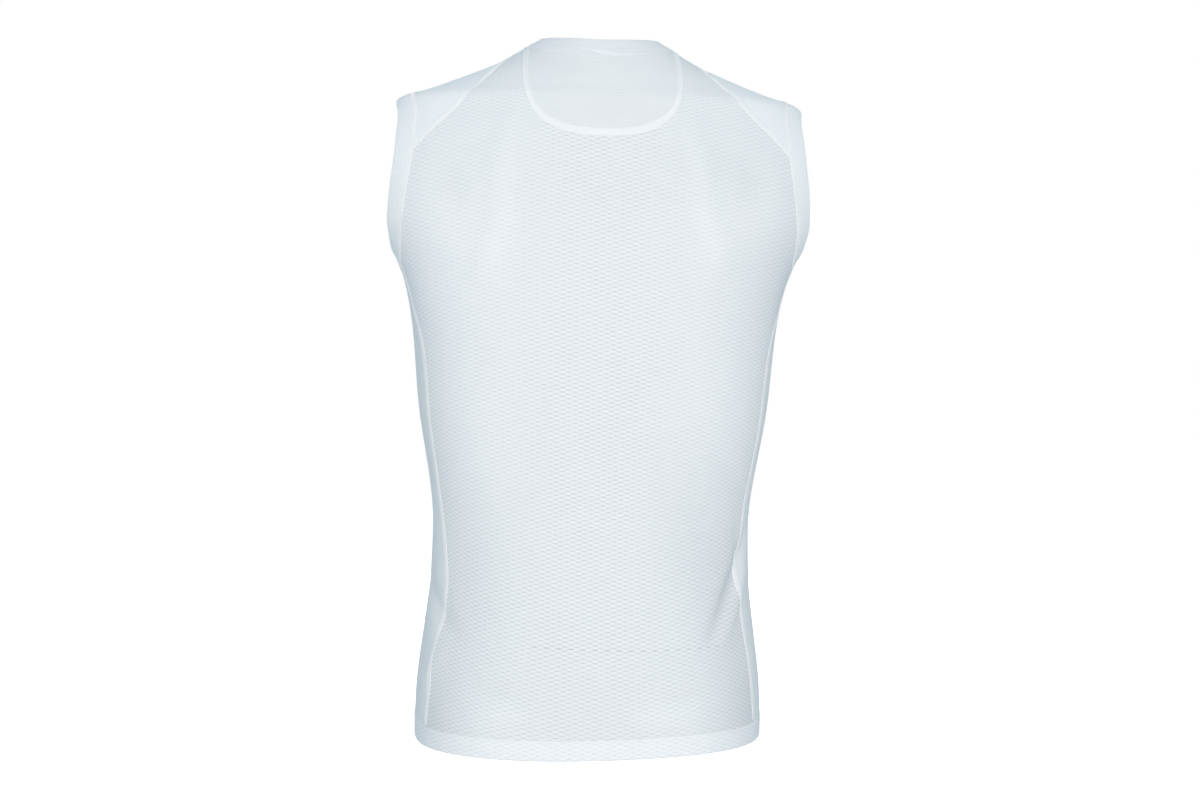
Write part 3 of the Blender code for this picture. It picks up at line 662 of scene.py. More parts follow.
def yoke_path():
    """The yoke's seam on the right, from the middle of the back up to the neck."""
    quarter = np.linspace(0.0, 0.5 * math.pi, FINE)
    across = YOKE_HALF_WIDTH * np.sin(quarter) ** (2.0 / YOKE_SQUARENESS)
    down = (YOKE_SHOULDER - YOKE_BOTTOM) * np.cos(quarter) ** (2.0 / YOKE_SQUARENESS)
    height = YOKE_SHOULDER - down
    end = neck_place(YOKE_AT_NECK)
    end_across = reach_at(end[0], end[1]) * math.sin(end[0])
    share = np.linspace(0.0, 1.0, FINE // 6)[1:-1]
    across = np.concatenate([across, YOKE_HALF_WIDTH + (end_across - YOKE_HALF_WIDTH) * share])
    height = np.concatenate([height, YOKE_SHOULDER + (end[1] - YOKE_SHOULDER) * share])
    curve = rows_of(np.arctan2(across, depth_beside(height, across, False)), height)
    return np.concatenate([curve, end[None, :]])


def neck_path(start, end):
    return neck_place(np.linspace(start, end, FINE))


def hem_line(start, end):
    angle = np.linspace(start, end, FINE)
    return rows_of(angle, hem_height(angle) + HEM_WIDTH)


ARM_BACK = armhole_path(SIDE_BACK_TURN, RAGLAN_BACK_TURN)
ARM_FRONT = armhole_path(SIDE_FRONT_TURN, RAGLAN_FRONT_TURN)
ARM_OVER = armhole_path(RAGLAN_BACK_TURN, RAGLAN_FRONT_TURN - 360.0)
ARM_UNDER = armhole_path(SIDE_BACK_TURN, SIDE_FRONT_TURN)
BACK_SHOULDER = smooth_path(neck_place(RAGLAN_BACK_AT_NECK), RAGLAN_BACK, ARM_BACK[-1])[::-1]
FRONT_SHOULDER = smooth_path(neck_place(RAGLAN_FRONT_AT_NECK), RAGLAN_FRONT, ARM_FRONT[-1])[::-1]
YOKE = yoke_path()


# ---------------------------------------------------------------- flat cloth
def lies_inside(places, outline):
    """Which places lie inside a closed outline."""
    inside = np.zeros(len(places), bool)
    x, y = places[:, 0], places[:, 1]
    for (ax, ay), (bx, by) in zip(outline, np.roll(outline, -1, axis=0)):
        if ay != by:
            crosses = (ay > y) != (by > y)
            inside ^= crosses & (x < ax + (y - ay) * (bx - ax) / (by - ay))
    return inside


def nearest_on(outline, places):
    """The nearest place of a closed outline to each place."""
    start, run = outline, np.roll(outline, -1, axis=0) - outline
    square = np.maximum((run**2).sum(1), TINY**2)
    away = places[:, None, :] - start
    share = np.clip((away * run).sum(2) / square, 0.0, 1.0)
    candidates = start + run * share[..., None]
    best = ((candidates - places[:, None, :]) ** 2).sum(2).argmin(1)
    return candidates[np.arange(len(places)), best]


def cut_out(outline, cell_across, cell_up):
    """Flat cloth in cells that lie evenly in the knit, cut along an outline."""
    low, high = outline.min(0), outline.max(0)
    first = np.floor(low / (cell_across, cell_up)).astype(int) - 1
    last = np.ceil(high / (cell_across, cell_up)).astype(int) + 1
    columns, rows = (int(n) for n in last - first)
    bm = bmesh.new()
    bmesh.ops.create_grid(bm, x_segments=columns, y_segments=rows, size=0.5)
    spread = Matrix.Diagonal((columns * cell_across, rows * cell_up, 1.0, 1.0))
    middle = (Vector((*first, 0.0)) + Vector((*last, 0.0))) / 2.0
    shift = Matrix.Translation((middle.x * cell_across, middle.y * cell_up, 0.0))
    bmesh.ops.transform(bm, matrix=shift @ spread, verts=bm.verts)
    inside = lies_inside(np.array([vert.co[:2] for vert in bm.verts]), outline)
    for vert, kept in zip(bm.verts, inside):
        vert.tag = bool(kept)
    spare = [face for face in bm.faces if not any(vert.tag for vert in face.verts)]
    bmesh.ops.delete(bm, geom=spare, context="FACES")
    rim = [vert for vert in bm.verts if not vert.tag]
    for vert, place in zip(rim, nearest_on(outline, np.array([vert.co[:2] for vert in rim]))):
        vert.co.x, vert.co.y = place
    bmesh.ops.remove_doubles(bm, verts=bm.verts, dist=0.00004)
    return bm


def give_wall(bm, outer, inner, finer=0):
    """Makes a flat sheet a slab. Finer is how often the cells of its face are halved."""
    made = bmesh.ops.extrude_face_region(bm, geom=bm.faces[:])["geom"]
    under = {item for item in made if isinstance(item, bmesh.types.BMVert)}
    for vert in bm.verts:
        vert.co.z = inner if vert in under else outer
    bmesh.ops.recalc_face_normals(bm, faces=bm.faces)
    for _ in range(finer):
        face_edges = [edge for edge in bm.edges if all(vert.co.z == outer for vert in edge.verts)]
        bmesh.ops.subdivide_edges(bm, edges=face_edges, cuts=1, use_grid_fill=True)
        for vert in bm.verts:
            if vert.co.z > inner + TINY:
                vert.co.z = outer


def mesh_from(bm, name):
    mesh = bpy.data.meshes.new(name)
    bm.to_mesh(mesh)
    bm.free()
    return mesh


def set_up(name, data):
    """An object in the scene with a mesh, a lamp or a camera as its data."""
    placed = bpy.data.objects.new(name, data)
    bpy.context.scene.collection.objects.link(placed)
    return placed


def vertex_places(mesh):
    places = np.empty(3 * len(mesh.vertices), np.float32)
    mesh.vertices.foreach_get("co", places)
    return places.reshape(-1, 3).astype(float)


def move_vertices(mesh, points):
    mesh.vertices.foreach_set("co", points.astype(np.float32).ravel())
    mesh.update()


def note_places(mesh, across, up):
    """Keeps each corner's place in the knit as the map that the materials read."""
    corners = np.empty(len(mesh.loops), np.int32)
    mesh.loops.foreach_get("vertex_index", corners)
    layer = mesh.uv_layers.new(name="knit")
    layer.data.foreach_set("uv", np.stack([across, up], -1)[corners].astype(np.float32).ravel())


def note_numbers(mesh, name, numbers):
    """Keeps a number of each vertex for the materials."""
    layer = mesh.attributes.new(name, "FLOAT", "POINT")
    layer.data.foreach_set("value", np.asarray(numbers, np.float32))


def finish_cloth(name, mesh, material):
    mesh.shade_smooth()
    mesh.set_sharp_from_angle(angle=math.radians(75.0))
    mesh.materials.append(material)
    piece = set_up(name, mesh)
    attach(piece, "root")
    return piece


def hang(name, bm, lay, material, raised=None):
    """Hangs a flat slab on the form. Lay turns flat places into angles and heights."""
    mesh = mesh_from(bm, name)
    across, up, out = vertex_places(mesh).T
    angle, height = lay(across, up)
    if raised is not None:
        out = out + np.where(out > TINY, raised(across, up), 0.0) * openness(angle, height)
    note_places(mesh, across, up)
    # The mesh knit's painted shade and painted highlight, as a number of each vertex.
    note_numbers(mesh, "painted_shading", painted_shading(angle, height))
    note_numbers(mesh, "openness", openness(angle, height))
    move_vertices(mesh, cloth_point(angle, height, out))
    return finish_cloth(name, mesh, material)


def grid_through(name, points, across, up):
    """A mesh grid through an array of points, with each one's place in the knit."""
    rows, columns = points.shape[0] - 1, points.shape[1] - 1
    bm = bmesh.new()
    bmesh.ops.create_grid(bm, x_segments=columns, y_segments=rows, size=0.5)
    mesh = mesh_from(bm, name)
    i, j, _ = np.rint((vertex_places(mesh) + 0.5) * (columns, rows, 1.0)).astype(int).T
    note_places(mesh, across[j, i], up[j, i])
    move_vertices(mesh, points[j, i])
    return mesh


def weld(meshes, name):
    """Joins meshes, closes their rounds, and turns their faces outwards."""
    bm = bmesh.new()
    for mesh in meshes:
        bm.from_mesh(mesh)
        bpy.data.meshes.remove(mesh)
    bmesh.ops.remove_doubles(bm, verts=bm.verts, dist=TINY)
    bmesh.ops.recalc_face_normals(bm, faces=bm.faces)
    return mesh_from(bm, name)


# ---------------------------------------------------------------- materials
def make_material(name):
    material = bpy.data.materials.new(name)
    material.use_nodes = True
    return material, material.node_tree, material.node_tree.nodes["Principled BSDF"]


def add_node(tree, kind, settings=(), **inputs):
    """A node with its settings, and its inputs by name, as numbers or as other nodes' outputs."""
    node = tree.nodes.new(kind)
    for key, value in dict(settings).items():
        setattr(node, key, value)
    for key, value in inputs.items():
        slot = node.inputs[int(key[1:])] if key[0] == "i" and key[1:].isdigit() else node.inputs[key]
        if isinstance(value, bpy.types.NodeSocket):
            tree.links.new(value, slot)
        else:
            slot.default_value = value
    return node


def do_maths(tree, operation, a, b=0.0):
    return add_node(tree, "ShaderNodeMath", {"operation": operation}, i0=a, i1=b).outputs[0]


def rescale(tree, value, low, high, to_low, to_high):
    node = add_node(tree, "ShaderNodeMapRange", {"interpolation_type": "SMOOTHSTEP"}, Value=value)
    for key, number in (("From Min", low), ("From Max", high), ("To Min", to_low), ("To Max", to_high)):
        node.inputs[key].default_value = number
    return node.outputs["Result"]


def mix_colours(tree, share, a, b):
    node = add_node(tree, "ShaderNodeMix", {"data_type": "RGBA"}, i0=share, i6=a, i7=b)
    return node.outputs[2]


def knit_coordinates(tree):
    """How far across and up in the knit the shaded place lies."""
    place = add_node(tree, "ShaderNodeUVMap", {"uv_map": "knit"})
    split = add_node(tree, "ShaderNodeSeparateXYZ", i0=place.outputs["UV"])
    return split.outputs["X"], split.outputs["Y"]


def cosine_of(tree, length, pitch, shift=0.0):
    turns = do_maths(tree, "MULTIPLY_ADD", length, 2.0 * math.pi / pitch)
    turns.node.inputs[2].default_value = shift
    return do_maths(tree, "COSINE", turns)


def mottle(tree, scale, low, high):
    """Slow, faint unevenness over the cloth."""
    place = add_node(tree, "ShaderNodeTexCoord").outputs["Object"]
    noise = add_node(tree, "ShaderNodeTexNoise", Vector=place, Scale=scale, Detail=3.0)
    return rescale(tree, noise.outputs["Fac"], 0.3, 0.7, low, high)


def make_cloth(name, roughness, sheen):
    """A cloth's material, its nodes and shader, and how far across and up in the knit a place lies."""
    material, tree, shader = make_material(name)
    shader.inputs["Roughness"].default_value = roughness
    shader.inputs["Specular IOR Level"].default_value = 0.15
    shader.inputs["Sheen Weight"].default_value = sheen
    shader.inputs["Sheen Roughness"].default_value = 0.6
    return material, tree, shader, *knit_coordinates(tree)


def paint_shade(tree, shader, share, colour, shade):
    """Colours the cloth, with painted shade where the share is 1."""
    tree.links.new(mix_colours(tree, share, colour, shade), shader.inputs["Base Color"])


def add_bump(tree, shader, height, strength, distance):
    bump = add_node(tree, "ShaderNodeBump", Height=height, Strength=strength, Distance=distance)
    tree.links.new(bump.outputs["Normal"], shader.inputs["Normal"])


def vertex_number(tree, name):
    """A number that the piece's vertices hold."""
    return add_node(tree, "ShaderNodeAttribute", {"attribute_name": name}).outputs["Fac"]


def loops(tree, across, up, wale, course):
    """The fine loops of knitted yarn, as heights from 0 to 1."""
    row = cosine_of(tree, up, course)
    leg = do_maths(tree, "ABSOLUTE", cosine_of(tree, across, 2.0 * wale))
    return do_maths(tree, "MULTIPLY", leg, rescale(tree, row, -1.0, 1.0, 0.45, 1.0))


def eyelet_knit(name, light, painted_shade_colour, crease=None):
    """White mesh knit: rows of lens-shaped eyelets, each second row set over by half a repeat, with painted
    shade in the eyelets.
    """
    material, tree, shader, across, up = make_cloth(name, 0.88, 0.03)
    wave = do_maths(tree, "MULTIPLY", cosine_of(tree, across, WALE), cosine_of(tree, up, COURSE))
    drawn = do_maths(tree, "MULTIPLY", cosine_of(tree, up, COURSE / 2.0), EYELET_LENGTH)
    wave = do_maths(tree, "ADD", wave, drawn)
    eyelet = rescale(tree, wave, -0.60, 1.20, 0.0, 1.0)
    opened = vertex_number(tree, "openness")
    # The eyelets' painted shade, as strong as they stand open, around its middling share.
    uneven = do_maths(tree, "MULTIPLY", eyelet, mottle(tree, 42.0, 0.86, 1.0))
    depth = do_maths(tree, "MULTIPLY", do_maths(tree, "SUBTRACT", uneven, EYELET_MEAN), opened)
    # Painted shade from folds and patches, and painted highlight where the number is below 0.
    middling = do_maths(tree, "ADD", vertex_number(tree, "painted_shading"), EYELET_MEAN)
    colour = mix_colours(tree, do_maths(tree, "ADD", depth, middling), light, painted_shade_colour)
    # A dashed line of painted shade along one row of eyelets.
    if crease:
        line = do_maths(tree, "COMPARE", up, crease.up)
        line.node.inputs[2].default_value = COURSE / 4.0
        span = do_maths(tree, "COMPARE", across, (crease.start + crease.end) / 2.0)
        span.node.inputs[2].default_value = (crease.end - crease.start) / 2.0
        marked = do_maths(tree, "MULTIPLY", do_maths(tree, "MULTIPLY", line, span), eyelet)
        colour = mix_colours(tree, do_maths(tree, "MULTIPLY", marked, CREASE_SHADE_SHARE), colour, CREASE_PAINTED_SHADE)
    tree.links.new(colour, shader.inputs["Base Color"])
    yarn = loops(tree, across, up, 0.00075, 0.0010)
    sunk = do_maths(tree, "MULTIPLY", eyelet, opened)
    height = do_maths(tree, "SUBTRACT", do_maths(tree, "MULTIPLY", yarn, 0.14), sunk)
    add_bump(tree, shader, height, 0.5, 0.0003)
    return material


def smooth_knit(name, colour, shade, wale, course, strength):
    """Fine plain knit, with painted shade between its loops of yarn."""
    material, tree, shader, across, up = make_cloth(name, 0.82, 0.05)
    yarn = loops(tree, across, up, wale, course)
    # Painted shade where the yarn lies low, between its loops.
    share = do_maths(tree, "MULTIPLY", rescale(tree, yarn, 0.2, 0.9, 0.6, 0.0), mottle(tree, 30.0, 0.6, 1.0))
    paint_shade(tree, shader, share, colour, shade)
    add_bump(tree, shader, yarn, strength, 0.0002)
    return material


def ribbed_knit(name, colour, shade):
    """Smooth knit with fine cross ribs, with painted shade in their grooves."""
    material, tree, shader, across, up = make_cloth(name, 0.82, 0.05)
    groove = rescale(tree, cosine_of(tree, up, RIB), -1.0, 0.6, 1.0, 0.0)
    share = do_maths(tree, "MULTIPLY", groove, mottle(tree, 26.0, 0.55, 1.0))
    paint_shade(tree, shader, share, colour, shade)
    add_bump(tree, shader, loops(tree, across, up, 0.0007, 0.0017), 0.25, 0.0002)
    return material


def woven_tape(name, colour, shade):
    material, tree, shader, across, up = make_cloth(name, 0.62, 0.10)
    twill = cosine_of(tree, do_maths(tree, "ADD", across, up), 0.0011)
    # Painted shade in the twill's grooves.
    paint_shade(tree, shader, rescale(tree, twill, -1.0, 1.0, 0.5, 0.0), colour, shade)
    add_bump(tree, shader, twill, 0.25, 0.0002)
    return material


def twisted_thread(name, colour, shade):
    material, tree, shader, across, up = make_cloth(name, 0.55, 0.05)
    twist = cosine_of(tree, do_maths(tree, "ADD", across, up), 0.0006)
    # Painted shade in the twist's grooves.
    paint_shade(tree, shader, rescale(tree, twist, -1.0, 1.0, 0.6, 0.0), colour, shade)
    add_bump(tree, shader, twist, 0.4, 0.0001)
    return material


# The faint fold line across the lower back, painted as shade in one row of eyelets, as a place up and a run
# across in the flat knit.
Crease = namedtuple("Crease", "up start end")
BACK_CREASE = Crease(-0.5520, -0.064, 0.136)
CREASE_SHADE_SHARE = 0.27  # how much its painted shade shows

# Each cloth's own light colour and its painted shade: the mesh knits get painted shade in their eyelets,
# folds and patches and painted highlight towards the light colour; the other cloths get painted shade
# between their yarns, ribs, twill and twist.
MESH_LIGHT = (0.91, 0.92, 0.93, 1.0)
MESH_PAINTED_SHADE = (0.665, 0.69, 0.71, 1.0)
BAND_LIGHT = (0.975, 0.98, 0.985, 1.0)
BAND_PAINTED_SHADE = (0.82, 0.84, 0.86, 1.0)
CREASE_PAINTED_SHADE = (0.36, 0.39, 0.42, 1.0)
SMOOTH_LIGHT = (0.88, 0.89, 0.895, 1.0)
SMOOTH_PAINTED_SHADE = (0.79, 0.81, 0.82, 1.0)
YOKE_LIGHT = (0.865, 0.875, 0.885, 1.0)
YOKE_PAINTED_SHADE = (0.77, 0.79, 0.805, 1.0)
SHOULDER_LIGHT = (0.925, 0.94, 0.95, 1.0)
SHOULDER_PAINTED_SHADE = (0.855, 0.875, 0.89, 1.0)
SEAM_LIGHT = (0.97, 0.975, 0.98, 1.0)
SEAM_PAINTED_SHADE = (0.93, 0.935, 0.95, 1.0)
NECK_LIGHT = (0.875, 0.885, 0.90, 1.0)
NECK_PAINTED_SHADE = (0.805, 0.82, 0.84, 1.0)
TAPE_LIGHT = (0.94, 0.945, 0.955, 1.0)
TAPE_PAINTED_SHADE = (0.88, 0.89, 0.91, 1.0)

back_mesh = eyelet_knit("back_mesh_knit", MESH_LIGHT, MESH_PAINTED_SHADE, BACK_CREASE)
front_mesh = eyelet_knit("front_mesh_knit", MESH_LIGHT, MESH_PAINTED_SHADE)
band_mesh = eyelet_knit("band_mesh_knit", BAND_LIGHT, BAND_PAINTED_SHADE)
side_knit = smooth_knit("side_smooth_knit", SMOOTH_LIGHT, SMOOTH_PAINTED_SHADE, 0.0008, 0.0009, 0.25)
shoulder_knit = smooth_knit("shoulder_smooth_knit", SHOULDER_LIGHT, SHOULDER_PAINTED_SHADE, 0.0008, 0.0009, 0.20)
neck_knit = smooth_knit("neck_smooth_knit", NECK_LIGHT, NECK_PAINTED_SHADE, 0.0009, 0.0012, 0.30)
yoke_knit = ribbed_knit("yoke_ribbed_knit", YOKE_LIGHT, YOKE_PAINTED_SHADE)
tape_weave = woven_tape("tape_weave", TAPE_LIGHT, TAPE_PAINTED_SHADE)
seam_weave = woven_tape("seam_weave", SEAM_LIGHT, SEAM_PAINTED_SHADE)
sewing_thread = twisted_thread("sewing_thread", SEAM_LIGHT, SEAM_PAINTED_SHADE)


# ---------------------------------------------------------------- panels
def closed_outline(*seams, front=False):
    """Seams end to end, as one outline in the flat knit."""
    path = np.concatenate(seams)
    return np.stack(into_knit(path[:, 0], path[:, 1], front), -1)


def mesh_panel(name, seams, front, material):
    """A panel of mesh knit, with each eyelet as a hollow in its face."""
    bm = cut_out(closed_outline(*seams, front=front), WALE / 2.0, COURSE / 2.0)
    give_wall(bm, OUTER, INNER, finer=1)

    def lay(across, up):
        return out_of_knit(across, up, front)

    return hang(name, bm, lay, material, eyelets)


def back_panel():
    right = [side_seam(1, False), ARM_BACK, BACK_SHOULDER]
    right += [neck_path(RAGLAN_BACK_AT_NECK, YOKE_AT_NECK), YOKE[::-1]]
    left = [mirrored(side_seam(1, True)), *(mirrored(seam) for seam in right[1:])]
    hem = hem_line(left[0][0, 0], right[0][0, 0])
    return mesh_panel("back_mesh", [hem, *right, *(seam[::-1] for seam in left[::-1])], False, back_mesh)


def front_panel():
    right = [side_seam(-1, False), ARM_FRONT, FRONT_SHOULDER, neck_path(RAGLAN_FRONT_AT_NECK, 180.0)]
    left = [carried_round(side_seam(-1, True)), *(carried_round(seam) for seam in right[1:])]
    hem = hem_line(left[0][0, 0], right[0][0, 0])
    return mesh_panel("front_mesh", [hem, *right, *(seam[::-1] for seam in left[::-1])], True, front_mesh)


def yoke():
    top = neck_path(YOKE_AT_NECK, -YOKE_AT_NECK)
    bm = cut_out(closed_outline(YOKE, top, mirrored(YOKE)[::-1]), 0.005, RIB / 2.0)
    give_wall(bm, OUTER, INNER, finer=1)

    def lay(across, up):
        return out_of_knit(across, up, False)

    return hang("neck_yoke", bm, lay, yoke_knit, cross_ribs)


def smooth_panel(name, edges, columns, rows, mirror, material):
    """A panel of plain knit, spread evenly between its four seams."""
    bottom, top, left, right = (
        spread_evenly(edge, n) for edge, n in zip(edges, (columns, columns, rows, rows))
    )
    if mirror:
        bottom, top, left, right = (mirrored(edge) for edge in (bottom, top, left, right))
    width, length = lengths_along(bottom)[-1], lengths_along(left)[-1]

    def lay(across, up):
        u, v = np.clip(across / width, 0.0, 1.0), np.clip(up / length, 0.0, 1.0)
        i, j = u * columns, v * rows
        place = []
        for axis in range(2):
            low = np.interp(i, np.arange(columns + 1), bottom[:, axis])
            high = np.interp(i, np.arange(columns + 1), top[:, axis])
            near = np.interp(j, np.arange(rows + 1), left[:, axis])
            far = np.interp(j, np.arange(rows + 1), right[:, axis])
            corners = (
                (bottom[0, axis] * (1 - u) + bottom[-1, axis] * u) * (1 - v)
                + (top[0, axis] * (1 - u) + top[-1, axis] * u) * v
            )
            place.append(near * (1 - u) + far * u + low * (1 - v) + high * v - corners)
        return place

    bm = bmesh.new()
    bmesh.ops.create_grid(bm, x_segments=columns, y_segments=rows, size=0.5)
    stretch = Matrix.Diagonal((width, length, 1.0, 1.0)) @ Matrix.Translation((0.5, 0.5, 0.0))
    bmesh.ops.transform(bm, matrix=stretch, verts=bm.verts)
    give_wall(bm, OUTER, INNER)
    return hang(name, bm, lay, material)


def side_panel(name, mirror):
    back, front = side_seam(1, mirror), side_seam(-1, mirror)
    if mirror:
        hem = mirrored(hem_line(-back[0, 0], -front[0, 0]))
    else:
        hem = hem_line(back[0, 0], front[0, 0])
    return smooth_panel(name, (hem, ARM_UNDER, back, front), 36, 150, mirror, side_knit)


def shoulder_panel(name, mirror):
    top = neck_path(RAGLAN_BACK_AT_NECK, RAGLAN_FRONT_AT_NECK)
    return smooth_panel(name, (ARM_OVER, top, BACK_SHOULDER, FRONT_SHOULDER), 50, 50, mirror, shoulder_knit)


# ---------------------------------------------------------------- bands
def folded_band(name, place, width, length, material, opened, mirror=False):
    """A strip of knit folded over an edge. Place gives its places by share of the way round and across."""
    columns = 4 * round(length / WALE)
    rows = round(width / (COURSE / 4.0)) * (1 if opened else 2)
    faces = [(0.0, OUTER)] + [(row / rows, DOUBLED) for row in range(1, rows)]
    turned = [(1.0, DOUBLED), (1.0 + 0.7 * DOUBLED / width, 0.7 * DOUBLED), (1.0 + DOUBLED / width, 0.0)]
    turned += [(share, -out) for share, out in turned[1::-1]]
    inside = [(share, -DOUBLED) for share in (0.75, 0.5, 0.25, 0.0)]
    profile = faces + turned + inside + faces[:1]
    points, across, up = [], [], []
    round_share = np.arange(columns + 1) / columns
    for share, out in profile:
        places = place(round_share, np.full(columns + 1, share))
        if mirror:
            places = mirrored(places)
        along = np.arange(columns + 1) * WALE / 4.0
        rise = np.full(columns + 1, share * width)
        raised = eyelets(along, rise) * (out == DOUBLED) * (0.0 < share < 1.0) * opened
        points.append(cloth_point(places[:, 0], places[:, 1], out + raised))
        across.append(along)
        up.append(rise)
    mesh = grid_through(name, np.array(points), np.array(across), np.array(up))
    mesh = weld([mesh], name)
    x, y, z = vertex_places(mesh).T
    # The band knit's painted shade and painted highlight, as a number of each vertex.
    note_numbers(mesh, "painted_shading", painted_shading(np.arctan2(x, -y), z))
    note_numbers(mesh, "openness", np.full(len(mesh.vertices), opened))
    return finish_cloth(name, mesh, material)


def even_turns(place_at, start, end):
    """A function from shares of the way round to turns that lie evenly along the cloth."""
    turns = np.linspace(start, end, FINE)
    run = lengths_along(place_at(turns))
    return (lambda share: np.interp(share * run[-1], run, turns)), run[-1]


def neck_band():
    turn_at, length = even_turns(neck_place, 0.0, 360.0)

    def place(share, across):
        return neck_place(turn_at(share), across)

    return folded_band("neck_band_knit", place, NECK_BAND_WIDTH, length, neck_knit, 0.0)


def armhole_band(name, mirror):
    turn_at, length = even_turns(lambda turn: armhole_place(turn, 0.5 * ARM_BAND_WIDTH), 0.0, 360.0)

    def place(share, across):
        return armhole_place(turn_at(share), ARM_BAND_WIDTH * (1.0 - across))

    return folded_band(name, place, ARM_BAND_WIDTH, length, band_mesh, ARM_BAND_OPENNESS, mirror)


def hem_band():
    def bottom(turn):
        angle = np.radians(turn)
        return rows_of(angle, hem_height(angle) + 0.5 * HEM_WIDTH)

    turn_at, length = even_turns(bottom, 90.0, 450.0)

    def place(share, across):
        angle = np.radians(turn_at(share))
        return rows_of(angle, hem_height(angle) + HEM_WIDTH * (1.0 - across))

    return folded_band("hem_band_knit", place, HEM_WIDTH, length, band_mesh, HEM_OPENNESS)


# ---------------------------------------------------------------- sewing
def frames_along(path, step):
    """Points, side directions and outward directions at even steps along a seam."""
    length = lengths_along(path)[-1]
    segments = max(int(round(length / step)), 2)
    places = spread_evenly(path, segments)
    points = cloth_point(places[:, 0], places[:, 1])
    outs = out_from(places[:, 0], places[:, 1])
    along = np.gradient(points, axis=0)
    asides = np.cross(outs, along)
    asides /= np.linalg.norm(asides, axis=1, keepdims=True)
    return points, asides, outs, np.linspace(0.0, length, segments + 1)


STRIP_BACK = ((0.50, 0.0), (0.48, 0.55), (0.36, 0.95), (0.12, 1.0))  # half of it, as shares across and out


def raised_strip(path, width, low, rise, step=0.003, slim=0.0, blunt=0.0):
    """A strip with a rounded back along a seam, which stands from low to low + rise above the cloth.

    Slim is how much slimmer it is beside the neck, and blunt how much shorter than a step its ends taper.
    """
    points, asides, outs, run = frames_along(path, step)
    points[1] += (points[0] - points[1]) * blunt
    points[-2] += (points[-1] - points[-2]) * blunt
    profile = [(-across, out) for across, out in STRIP_BACK]
    profile += [*STRIP_BACK[::-1], (0.0, -0.1), (-0.50, 0.0)]
    size = 1.0 - slim * ease(points[:, 2], -0.080, -0.055)
    size[0] = size[-1] = 0.0
    rings = [
        points + asides * (width * across * size)[:, None] + outs * (low + rise * out * size)[:, None]
        for across, out in profile
    ]
    across = np.broadcast_to(run, (len(profile), len(run)))
    up = np.broadcast_to(np.array([[place[0] * width] for place in profile]), across.shape)
    return grid_through("strip", np.array(rings), across, up)


def thread_tube(points, radii, sides=5):
    """A thread through points, as thick as its radii, with its ends closed."""
    along = np.gradient(points, axis=0)
    along /= np.linalg.norm(along, axis=1, keepdims=True)
    first = np.cross(along, np.roll(along, 1, axis=1) + (0.3, 0.1, 0.2))
    first /= np.linalg.norm(first, axis=1, keepdims=True)
    second = np.cross(along, first)
    turns = np.linspace(0.0, 2.0 * math.pi, sides + 1)
    radii = radii.copy()
    radii[0] = radii[-1] = 0.0
    rings = [
        points + (first * math.cos(turn) + second * math.sin(turn)) * radii[:, None] for turn in turns
    ]
    run = np.concatenate([[0.0], np.cumsum(np.linalg.norm(np.diff(points, axis=0), axis=1))])
    across = np.broadcast_to(run, (sides + 1, len(run)))
    up = np.broadcast_to(turns[:, None] * radii.max(), across.shape)
    return grid_through("thread", np.array(rings), across, up)


def stitch_row(path, aside, out, pitch=0.0026, radius=0.00024):
    """A row of stitches beside a seam: a thread that dips into the cloth between them."""
    points, asides, outs, run = frames_along(path, pitch / 5.0)
    wave = np.abs(np.sin(math.pi * run / pitch))
    lifted = out - 1.1 * radius + 1.6 * radius * np.sqrt(wave)
    line = points + asides * aside + outs * lifted[:, None]
    return thread_tube(line, radius * (0.45 + 0.55 * wave))


def zigzag(path, half_width, out, pitch=0.0022, radius=0.00018):
    """A thread that runs from side to side over a seam."""
    points, asides, outs, run = frames_along(path, pitch / 8.0)
    phase = (run / pitch) % 1.0
    swing = np.clip(3.0 * (np.abs(phase * 2.0 - 1.0) - 0.5), -1.0, 1.0)
    lifted = out + 0.5 * radius - 1.4 * radius * np.abs(swing) ** 3
    line = points + asides * (half_width * swing)[:, None] + outs * lifted[:, None]
    return thread_tube(line, np.full(len(run), radius), sides=4)


FLATLOCK_WIDTH = 0.0056
FLATLOCK_RISE = 0.00032
FLATLOCK_STITCHES = 0.34  # how far aside they lie, as a share of the width
TAPE_WIDTH = 0.0084
TAPE_RISE = 0.0006
TAPE_STITCHES = 0.26
TAPE_SLIMMING = 0.22
TAPE_END_BLUNTNESS = 0.9
TAPE_END_DROP = 0.0008  # how far below the neck band's seam the tape ends


def both_sides(path):
    return [path, mirrored(path)]


def flatlock_seam(name, paths):
    """Flat seams: a raised strip, two rows of stitches and a thread from side to side over them."""
    strips, threads = [], []
    low = OUTER + 0.00003
    for path in paths:
        strips.append(raised_strip(path, FLATLOCK_WIDTH, low, FLATLOCK_RISE))
        top = low + FLATLOCK_RISE
        aside = FLATLOCK_STITCHES * FLATLOCK_WIDTH
        threads.append(zigzag(path, aside, top))
        threads += [stitch_row(path, side * aside, top) for side in (-1.0, 1.0)]
    finish_cloth(name, weld(strips, name), seam_weave)
    thread_name = name + "_thread"
    finish_cloth(thread_name, weld(threads, thread_name), sewing_thread)


def sew_seams():
    flatlock_seam("raglan_seams_back", both_sides(BACK_SHOULDER))
    flatlock_seam("raglan_seams_front", both_sides(FRONT_SHOULDER))
    flatlock_seam("side_seams_back", [side_seam(1, False), mirrored(side_seam(1, True))])
    flatlock_seam("side_seams_front", [side_seam(-1, False), mirrored(side_seam(-1, True))])
    ring = armhole_place(np.linspace(0.0, 360.0, FINE), ARM_BAND_WIDTH)
    flatlock_seam("armhole_seams", both_sides(ring))


